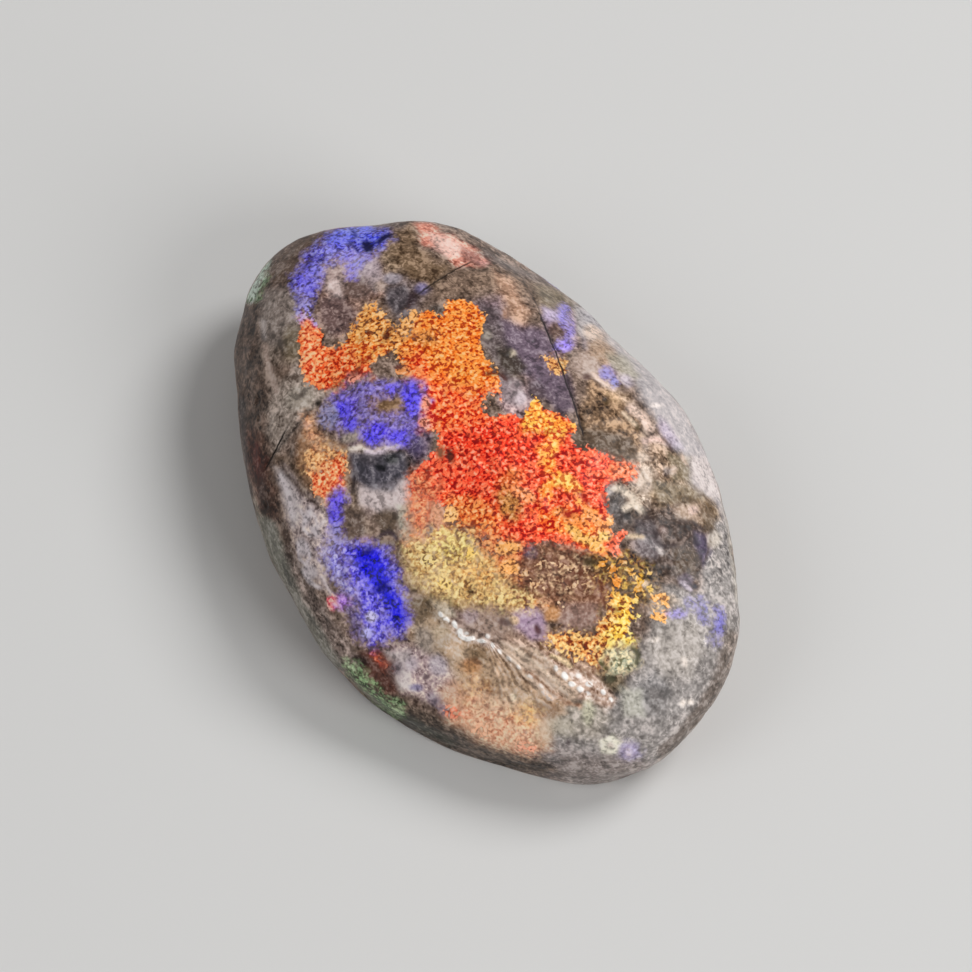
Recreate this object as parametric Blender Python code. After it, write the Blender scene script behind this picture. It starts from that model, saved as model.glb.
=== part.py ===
"""Rough opal: one loose, hand-rubbed piece of boulder opal.

A flat-bottomed, slightly domed pebble with an egg-shaped outline, longest
along Y.  It is a single natural stone: potch and precious opal are grown
together, so the whole solid is one node.  Lengths are in millimetres in the
tables below and converted to metres when the mesh is made.  Z is up and the
stone rests on its ground-flat underside at z = 0.
"""
import math

import bmesh
import bpy
import numpy as np

MM = 0.001

# ---------------------------------------------------------------- dimensions
# Walls round the outline, one row per rubbed flat:
#   azimuth of the outward normal (deg), distance from the stone's axis at the
#   girdle, height of the girdle, inward lean above it (deg), undercut below
#   it (deg)
WALLS = (
    (22, 10.30, 2.8, 10, 22),     # +X side, towards the crown end
    (54, 12.25, 3.0, 16, 24),     # chipped crown corner
    (89, 14.30, 3.0, 25, 26),     # crown end
    (118, 12.70, 2.8, 30, 28),
    (136, 10.25, 2.6, 28, 28),
    (153, 8.75, 2.5, 28, 26),     # long -X side
    (171, 8.40, 2.6, 27, 20),
    (202, 8.75, 2.9, 34, 9),      # steep wall under the front bevel
    (224, 10.20, 2.8, 34, 7),
    (264, 12.40, 2.5, 22, 26),    # tail end
    (293, 11.45, 2.6, 14, 30),
    (316, 10.15, 2.6, 12, 24),
    (329, 8.95, 2.7, 10, 22),     # long +X side
    (354, 8.30, 2.8, 8, 22),
)
WALL_BLEND = 1.3                  # rounding of the upright corners
GIRDLE_BLEND = 1.2                # rounding of the girdle line

# The rubbed top: a shallow cylinder-like dome, apex point and its two radii
TOP_APEX = (1.0, 1.5, 6.9)
TOP_RADIUS_X = 13.0
TOP_RADIUS_Y = 30.0
TOP_BLEND = 1.0

# Flat bevels cut across the shoulder: azimuth and elevation of the normal
# (deg), distance from the point FACET_CENTRE on the axis, rounding of the edge
FACET_CENTRE = 3.0
BEVELS = (
    (8, 40, 6.80, 0.50),          # long bevel on the +X side
    (335, 40, 6.95, 0.60),        # its continuation towards the tail
    (203, 46, 5.60, 0.35),        # broad front bevel, sharp upper edge
    (290, 52, 9.00, 1.20),        # soft slope at the tail
    (88, 46, 10.30, 1.60),        # soft slope at the crown
    (60, 34, 11.20, 0.25),        # small spall off the crown corner
)

# Shallow rubbed hollow just above the front bevel, parallel to its edge:
# azimuth of its length, distance of its line from the axis, length, half
# width, depth
HOLLOW_AZIMUTH = 293.0
HOLLOW_OFFSET = 4.9
HOLLOW_CENTRE = 7.4
HOLLOW_LENGTH = 3.2
HOLLOW_WIDTH = 0.55
HOLLOW_DEPTH = 0.10

# Slow unevenness left by hand rubbing: amplitude (mm) of each set of swells
# and the wavelength (mm) it has along X, Y and Z
SWELLS = (
    (0.050, 9.1, 11.7, 8.3),
    (0.040, 5.3, 6.9, 5.9),
    (0.025, 3.7, 4.3, 3.9),
)

# Mesh density
COLUMNS = 128                     # columns at the girdle, halved towards the poles
ROWS = 26                         # rows from the foot of the wall to the top
BASE_RINGS = 8                    # rings of the flat underside
INNER_HEIGHT = 3.2                # the axis point every surface ray starts from


def smooth_max(a, b, k):
    """Larger of two fields with a rounded changeover of size k."""
    h = np.maximum(k - np.abs(a - b), 0.0) / k
    return np.maximum(a, b) + h * h * k * 0.25


def swells(x, y, z):
    """Gentle lumps, the sum of a few crossed waves."""
    total = np.zeros_like(x)
    for n, (height, lx, ly, lz) in enumerate(SWELLS):
        total = total + height * (np.sin(2 * math.pi * (x / lx + z / lz) + 1.3 * n)
                                  * np.cos(2 * math.pi * (y / ly - 0.4 * z / lz) + 0.7 * n))
    return total


def body_field(x, y, z):
    """Signed field of the stone without its underside, negative inside."""
    total = None
    for azimuth, reach, girdle, lean, undercut in WALLS:
        a = math.radians(azimuth)
        side = x * math.cos(a) + y * math.sin(a) - reach
        wall = smooth_max(side + (z - girdle) * math.tan(math.radians(lean)),
                          side + (girdle - z) * math.tan(math.radians(undercut)),
                          GIRDLE_BLEND)
        total = wall if total is None else smooth_max(total, wall, WALL_BLEND)
    u = x - TOP_APEX[0]
    v = y - TOP_APEX[1]
    top = z - TOP_APEX[2] + u * u / (2 * TOP_RADIUS_X) + v * v / (2 * TOP_RADIUS_Y)
    top = top / np.sqrt(1 + (u / TOP_RADIUS_X) ** 2 + (v / TOP_RADIUS_Y) ** 2)
    a = math.radians(HOLLOW_AZIMUTH)
    along = x * math.cos(a) + y * math.sin(a) - HOLLOW_CENTRE
    across = x * math.sin(a) - y * math.cos(a) + HOLLOW_OFFSET
    top = top + HOLLOW_DEPTH * np.exp(-(along / HOLLOW_LENGTH) ** 2 - (across / HOLLOW_WIDTH) ** 2)
    total = smooth_max(total, top, TOP_BLEND)
    for azimuth, elevation, reach, rounding in BEVELS:
        a = math.radians(azimuth)
        e = math.radians(elevation)
        cut = (x * math.cos(a) * math.cos(e) + y * math.sin(a) * math.cos(e)
               + (z - FACET_CENTRE) * math.sin(e) - reach)
        total = smooth_max(total, cut, rounding)
    return total + swells(x, y, z)


def ray_hit(dx, dy, dz, z0):
    """Distance from (0, 0, z0) to the surface along unit directions."""
    near = np.zeros_like(dx)
    far = np.full_like(dx, 20.0)
    for _ in range(48):
        mid = 0.5 * (near + far)
        inside = body_field(dx * mid, dy * mid, z0 + dz * mid) < 0
        near = np.where(inside, mid, near)
        far = np.where(inside, far, mid)
    return 0.5 * (near + far)


def profile_rows(azimuths):
    """Points of every column, evenly spaced from the foot (z = 0) to the top."""
    foot = ray_hit(np.cos(azimuths), np.sin(azimuths), np.zeros_like(azimuths), 0.0)
    start = np.arctan2(-INNER_HEIGHT, foot)
    steps = 400
    t = np.linspace(0.0, 1.0, steps + 1)
    elevation = start[:, None] + (math.pi / 2 - start[:, None]) * t[None, :]
    az = np.repeat(azimuths[:, None], steps + 1, axis=1)
    dx = np.cos(az) * np.cos(elevation)
    dy = np.sin(az) * np.cos(elevation)
    dz = np.sin(elevation)
    reach = ray_hit(dx, dy, dz, INNER_HEIGHT)
    points = np.stack([dx * reach, dy * reach, INNER_HEIGHT + dz * reach], axis=-1)
    points[:, 0, 0] = foot * np.cos(azimuths)
    points[:, 0, 1] = foot * np.sin(azimuths)
    points[:, 0, 2] = 0.0
    length = np.linalg.norm(np.diff(points, axis=1), axis=-1)
    arc = np.concatenate([np.zeros((len(azimuths), 1)), np.cumsum(length, axis=1)], axis=1)
    arc = arc / arc[:, -1:]
    rows = np.empty((ROWS + 1, len(azimuths), 3))
    for c in range(len(azimuths)):
        wanted = np.linspace(0.0, 1.0, ROWS + 1)
        for axis in range(3):
            rows[:, c, axis] = np.interp(wanted, arc[c], points[c, :, axis])
    rows[0, :, 2] = 0.0
    return rows


def ring_counts(radii, full):
    """Columns kept in every ring, halved as the ring gets smaller."""
    counts = []
    count = full
    for radius in radii:
        while count > 8 and radius < radii[0] * 0.55 * count / full:
            count //= 2
        counts.append(count)
    return counts


def join_rings(bm, outer, inner, upward):
    """Triangles between two rings; the inner one has as many or half as many."""
    n, m = len(outer), len(inner)
    faces = []
    if n == m:
        for i in range(n):
            j = (i + 1) % n
            faces.append((outer[i], outer[j], inner[j]))
            faces.append((outer[i], inner[j], inner[i]))
    else:
        for i in range(m):
            a, b, c = outer[2 * i], outer[2 * i + 1], outer[(2 * i + 2) % n]
            p, q = inner[i], inner[(i + 1) % m]
            faces.append((a, b, p))
            faces.append((b, q, p))
            faces.append((b, c, q))
    for f in faces:
        bm.faces.new(f if upward else f[::-1])


def make_stone():
    azimuths = np.arange(COLUMNS) * (2 * math.pi / COLUMNS)
    rows = profile_rows(azimuths)
    low = rows.reshape(-1, 3).min(axis=0)
    high = rows.reshape(-1, 3).max(axis=0)
    shift = np.array([-(low[0] + high[0]) / 2, -(low[1] + high[1]) / 2, 0.0])

    bm = bmesh.new()

    def ring_verts(ring, count):
        step = COLUMNS // count
        return [bm.verts.new(tuple((ring[i] + shift) * MM)) for i in range(0, COLUMNS, step)]

    radii = [float(np.linalg.norm(rows[r, :, :2], axis=1).mean()) for r in range(ROWS)]
    widest = max(radii)
    counts = ring_counts([widest if r < ROWS // 2 else radii[r] for r in range(ROWS)], COLUMNS)
    rings = [ring_verts(rows[r], counts[r]) for r in range(ROWS)]
    for r in range(ROWS - 1):
        join_rings(bm, rings[r], rings[r + 1], True)
    apex = bm.verts.new(tuple((rows[ROWS].mean(axis=0) + shift) * MM))
    last = rings[-1]
    for i in range(len(last)):
        bm.faces.new((last[i], last[(i + 1) % len(last)], apex))

    # flat underside, all of it at z = 0
    foot = rows[0]
    centre = np.array([foot[:, 0].mean(), foot[:, 1].mean(), 0.0])
    scales = [1.0 - (k / BASE_RINGS) for k in range(BASE_RINGS)]
    base_counts = ring_counts(scales, COLUMNS)
    previous = rings[0]
    for scale, count in zip(scales[1:], base_counts[1:]):
        while len(previous) // 2 > count:
            count *= 2
        ring = ring_verts(centre + (foot - centre) * scale, count)
        join_rings(bm, previous, ring, False)
        previous = ring
    middle = bm.verts.new(tuple((centre + shift) * MM))
    for i in range(len(previous)):
        bm.faces.new((previous[(i + 1) % len(previous)], previous[i], middle))

    bm.normal_update()
    mesh = bpy.data.meshes.new("opal")
    bm.to_mesh(mesh)
    bm.free()
    for polygon in mesh.polygons:
        polygon.use_smooth = polygon.normal.z > -0.999
    return mesh


def stone_material():
    material = bpy.data.materials.new("opal_stone")
    material.use_nodes = True
    shader = material.node_tree.nodes["Principled BSDF"]
    shader.inputs["Base Color"].default_value = (0.26, 0.20, 0.17, 1.0)
    shader.inputs["Roughness"].default_value = 0.38
    shader.inputs["Metallic"].default_value = 0.0
    return material


for old in list(bpy.data.objects):
    bpy.data.objects.remove(old, do_unlink=True)

stone = bpy.data.objects.new("opal", make_stone())
stone.data.materials.append(stone_material())
bpy.context.scene.collection.objects.link(stone)
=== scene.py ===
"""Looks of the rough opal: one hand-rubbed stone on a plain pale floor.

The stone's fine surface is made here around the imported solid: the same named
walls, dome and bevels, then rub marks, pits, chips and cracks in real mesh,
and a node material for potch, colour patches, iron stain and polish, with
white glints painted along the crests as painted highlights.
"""
import math

import bmesh
import bpy
import numpy as np
from mathutils import Matrix, Vector


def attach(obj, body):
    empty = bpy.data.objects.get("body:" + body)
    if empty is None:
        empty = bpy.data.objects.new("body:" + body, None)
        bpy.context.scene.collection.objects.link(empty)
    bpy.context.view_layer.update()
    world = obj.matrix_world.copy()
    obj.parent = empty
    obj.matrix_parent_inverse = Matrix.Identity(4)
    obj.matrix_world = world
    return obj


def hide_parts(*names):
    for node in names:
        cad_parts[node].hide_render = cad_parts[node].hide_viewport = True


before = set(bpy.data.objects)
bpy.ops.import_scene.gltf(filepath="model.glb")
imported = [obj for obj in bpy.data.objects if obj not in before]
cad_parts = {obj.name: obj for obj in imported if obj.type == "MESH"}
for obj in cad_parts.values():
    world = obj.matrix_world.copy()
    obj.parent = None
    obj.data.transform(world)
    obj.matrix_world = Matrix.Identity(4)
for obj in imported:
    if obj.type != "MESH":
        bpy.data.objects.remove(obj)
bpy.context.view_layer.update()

MM = 0.001

# ------------------------------------------------------------------ the solid
# Same dimensions as the part: azimuth, reach, girdle height, lean, undercut
WALLS = (
    (22, 10.30, 2.8, 10, 22),
    (54, 12.25, 3.0, 16, 24),
    (89, 14.30, 3.0, 25, 26),
    (118, 12.70, 2.8, 30, 28),
    (136, 10.25, 2.6, 28, 28),
    (153, 8.75, 2.5, 28, 26),
    (171, 8.40, 2.6, 27, 20),
    (202, 8.75, 2.9, 34, 9),
    (224, 10.20, 2.8, 34, 7),
    (264, 12.40, 2.5, 22, 26),
    (293, 11.45, 2.6, 14, 30),
    (316, 10.15, 2.6, 12, 24),
    (329, 8.95, 2.7, 10, 22),
    (354, 8.30, 2.8, 8, 22),
)
WALL_BLEND = 1.3
GIRDLE_BLEND = 1.2
TOP_APEX = (1.0, 1.5, 6.9)
TOP_RADIUS_X = 13.0
TOP_RADIUS_Y = 30.0
TOP_BLEND = 1.0
FACET_CENTRE = 3.0
BEVELS = (
    (8, 40, 6.80, 0.50),
    (335, 40, 6.95, 0.60),
    (203, 46, 5.60, 0.35),
    (290, 52, 9.00, 1.20),
    (88, 46, 10.30, 1.60),
    (60, 34, 11.20, 0.25),
)
HOLLOW_AZIMUTH = 293.0
HOLLOW_OFFSET = 4.9
HOLLOW_CENTRE = 7.4
HOLLOW_LENGTH = 3.2
HOLLOW_WIDTH = 0.55
HOLLOW_DEPTH = 0.10
SWELLS = (
    (0.050, 9.1, 11.7, 8.3),
    (0.040, 5.3, 6.9, 5.9),
    (0.025, 3.7, 4.3, 3.9),
)
FOOT_BLEND = 0.22                 # wear along the edge of the underside
AXIS_SHIFT = (-0.067, -0.833)     # design axis to the middle of the box, mm
RAY_HEIGHT = 3.2
RAY_STRETCH = (8.2, 12.8, 3.7)    # evens out the mesh over the flat stone

# The markings are laid out on a drawing grid fixed to the stone: seen from a
# point up and in front, 27 lines to a millimetre, centre (486, 486), v
# downwards.  Its lines coincide with the pixels of the 972 x 972 picture the
# stone is rebuilt from, so a marking can be placed by looking at the picture.
# The outline and tone of every marking below was judged and listed.
# Only the cast, contrast and grain strength of the stone as a whole were set
# against averages taken over the whole stone, in the picture and in a render.
SKETCH_AZIMUTH = -40.0
SKETCH_ELEVATION = 60.0
SKETCH_DISTANCE = 180.0
SKETCH_LINES = 27.0
SKETCH_CENTRE = 486.0
SKETCH_AIM = 3.0
SKETCH_RAISE = 0.63

a0 = math.radians(SKETCH_AZIMUTH)
e0 = math.radians(SKETCH_ELEVATION)
RIGHT = np.array([math.cos(a0), math.sin(a0), 0.0])
AHEAD = np.array([-math.sin(a0) * math.cos(e0), math.cos(a0) * math.cos(e0), -math.sin(e0)])
ABOVE = np.array([-math.sin(a0) * math.sin(e0), math.cos(a0) * math.sin(e0), math.cos(e0)])
AIM = np.array([0.0, 0.0, SKETCH_AIM]) + ABOVE * SKETCH_RAISE
EYE = AIM - AHEAD * SKETCH_DISTANCE


def smooth_max(a, b, k):
    h = np.maximum(k - np.abs(a - b), 0.0) / k
    return np.maximum(a, b) + h * h * k * 0.25


def smooth(low, high, x):
    t = np.clip((x - low) / (high - low), 0.0, 1.0)
    return t * t * (3.0 - 2.0 * t)


def swells(x, y, z):
    total = np.zeros_like(x)
    for n, (height, lx, ly, lz) in enumerate(SWELLS):
        total = total + height * (np.sin(2 * math.pi * (x / lx + z / lz) + 1.3 * n)
                                  * np.cos(2 * math.pi * (y / ly - 0.4 * z / lz) + 0.7 * n))
    return total


def stone_field(x, y, z):
    total = None
    for azimuth, reach, girdle, lean, undercut in WALLS:
        a = math.radians(azimuth)
        side = x * math.cos(a) + y * math.sin(a) - reach
        wall = smooth_max(side + (z - girdle) * math.tan(math.radians(lean)),
                          side + (girdle - z) * math.tan(math.radians(undercut)),
                          GIRDLE_BLEND)
        total = wall if total is None else smooth_max(total, wall, WALL_BLEND)
    u = x - TOP_APEX[0]
    v = y - TOP_APEX[1]
    top = z - TOP_APEX[2] + u * u / (2 * TOP_RADIUS_X) + v * v / (2 * TOP_RADIUS_Y)
    top = top / np.sqrt(1 + (u / TOP_RADIUS_X) ** 2 + (v / TOP_RADIUS_Y) ** 2)
    a = math.radians(HOLLOW_AZIMUTH)
    along = x * math.cos(a) + y * math.sin(a) - HOLLOW_CENTRE
    across = x * math.sin(a) - y * math.cos(a) + HOLLOW_OFFSET
    top = top + HOLLOW_DEPTH * np.exp(-(along / HOLLOW_LENGTH) ** 2 - (across / HOLLOW_WIDTH) ** 2)
    total = smooth_max(total, top, TOP_BLEND)
    for azimuth, elevation, reach, rounding in BEVELS:
        a = math.radians(azimuth)
        e = math.radians(elevation)
        cut = (x * math.cos(a) * math.cos(e) + y * math.sin(a) * math.cos(e)
               + (z - FACET_CENTRE) * math.sin(e) - reach)
        total = smooth_max(total, cut, rounding)
    return smooth_max(total + swells(x, y, z), -z, FOOT_BLEND)


# ------------------------------------------------------------------ noise
def lattice(ix, iy, iz, seed):
    """Repeatable 32-bit scramble of integer lattice points."""
    h = (ix.astype(np.uint32) * np.uint32(0x8DA6B343)) ^ (iy.astype(np.uint32) * np.uint32(0xD8163841))
    h ^= (iz.astype(np.uint32) * np.uint32(0xCB1AB31F)) ^ np.uint32((seed * 2654435761) & 0xFFFFFFFF)
    h ^= h >> np.uint32(13)
    h *= np.uint32(0x5BD1E995)
    h ^= h >> np.uint32(15)
    h *= np.uint32(0x27D4EB2F)
    h ^= h >> np.uint32(16)
    return h


def noise(p, size, seed=0):
    """Gradient noise in about -1..1 with features of the given size (mm)."""
    q = p / size
    base = np.floor(q).astype(np.int64)
    f = q - base
    w = f * f * f * (f * (f * 6 - 15) + 10)
    total = np.zeros(len(q))
    for dx in (0, 1):
        for dy in (0, 1):
            for dz in (0, 1):
                h = lattice(base[:, 0] + dx, base[:, 1] + dy, base[:, 2] + dz, seed)
                gx = (h & np.uint32(1023)) / 511.5 - 1
                gy = ((h >> np.uint32(10)) & np.uint32(1023)) / 511.5 - 1
                gz = ((h >> np.uint32(20)) & np.uint32(1023)) / 511.5 - 1
                dot = gx * (f[:, 0] - dx) + gy * (f[:, 1] - dy) + gz * (f[:, 2] - dz)
                wx = w[:, 0] if dx else 1 - w[:, 0]
                wy = w[:, 1] if dy else 1 - w[:, 1]
                wz = w[:, 2] if dz else 1 - w[:, 2]
                total += dot * wx * wy * wz
    return total * 1.3


def layered(p, size, octaves, seed=0):
    total = np.zeros(len(p))
    weight = 1.0
    for n in range(octaves):
        total += weight * noise(p + 17.3 * n, size / 2 ** n, seed + n)
        weight *= 0.5
    return total


# ------------------------------------------------------------------ sketch shapes
def oval(cx, cy, rx, ry, turn=0.0):
    t = math.radians(turn)

    def signed(u, v):
        x = (u - cx) * math.cos(t) + (v - cy) * math.sin(t)
        y = -(u - cx) * math.sin(t) + (v - cy) * math.cos(t)
        r = np.sqrt((x / rx) ** 2 + (y / ry) ** 2)
        return (r - 1.0) * min(rx, ry) ** 0.7 * max(rx, ry) ** 0.3
    return signed


def patch(*points):
    def signed(u, v):
        best = np.full_like(u, 1e9)
        inside = np.zeros(u.shape, bool)
        n = len(points)
        for i in range(n):
            (x0, y0), (x1, y1) = points[i], points[(i + 1) % n]
            ex, ey = x1 - x0, y1 - y0
            t = np.clip(((u - x0) * ex + (v - y0) * ey) / (ex * ex + ey * ey + 1e-9), 0, 1)
            best = np.minimum(best, (u - x0 - ex * t) ** 2 + (v - y0 - ey * t) ** 2)
            crosses = ((y0 > v) != (y1 > v)) & (u < (x1 - x0) * (v - y0) / ((y1 - y0) or 1e-9) + x0)
            inside ^= crosses
        best = np.sqrt(best)
        return np.where(inside, -best, best)
    return signed


def stroke(width, *points):
    def signed(u, v):
        best = np.full_like(u, 1e9)
        for (x0, y0), (x1, y1) in zip(points[:-1], points[1:]):
            ex, ey = x1 - x0, y1 - y0
            t = np.clip(((u - x0) * ex + (v - y0) * ey) / (ex * ex + ey * ey + 1e-9), 0, 1)
            best = np.minimum(best, (u - x0 - ex * t) ** 2 + (v - y0 - ey * t) ** 2)
        return np.sqrt(best) - width
    return signed


def linear(rgb):
    c = np.array(rgb, float) / 255.0
    return np.where(c <= 0.04045, c / 12.92, ((c + 0.055) / 1.055) ** 2.4)


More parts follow.
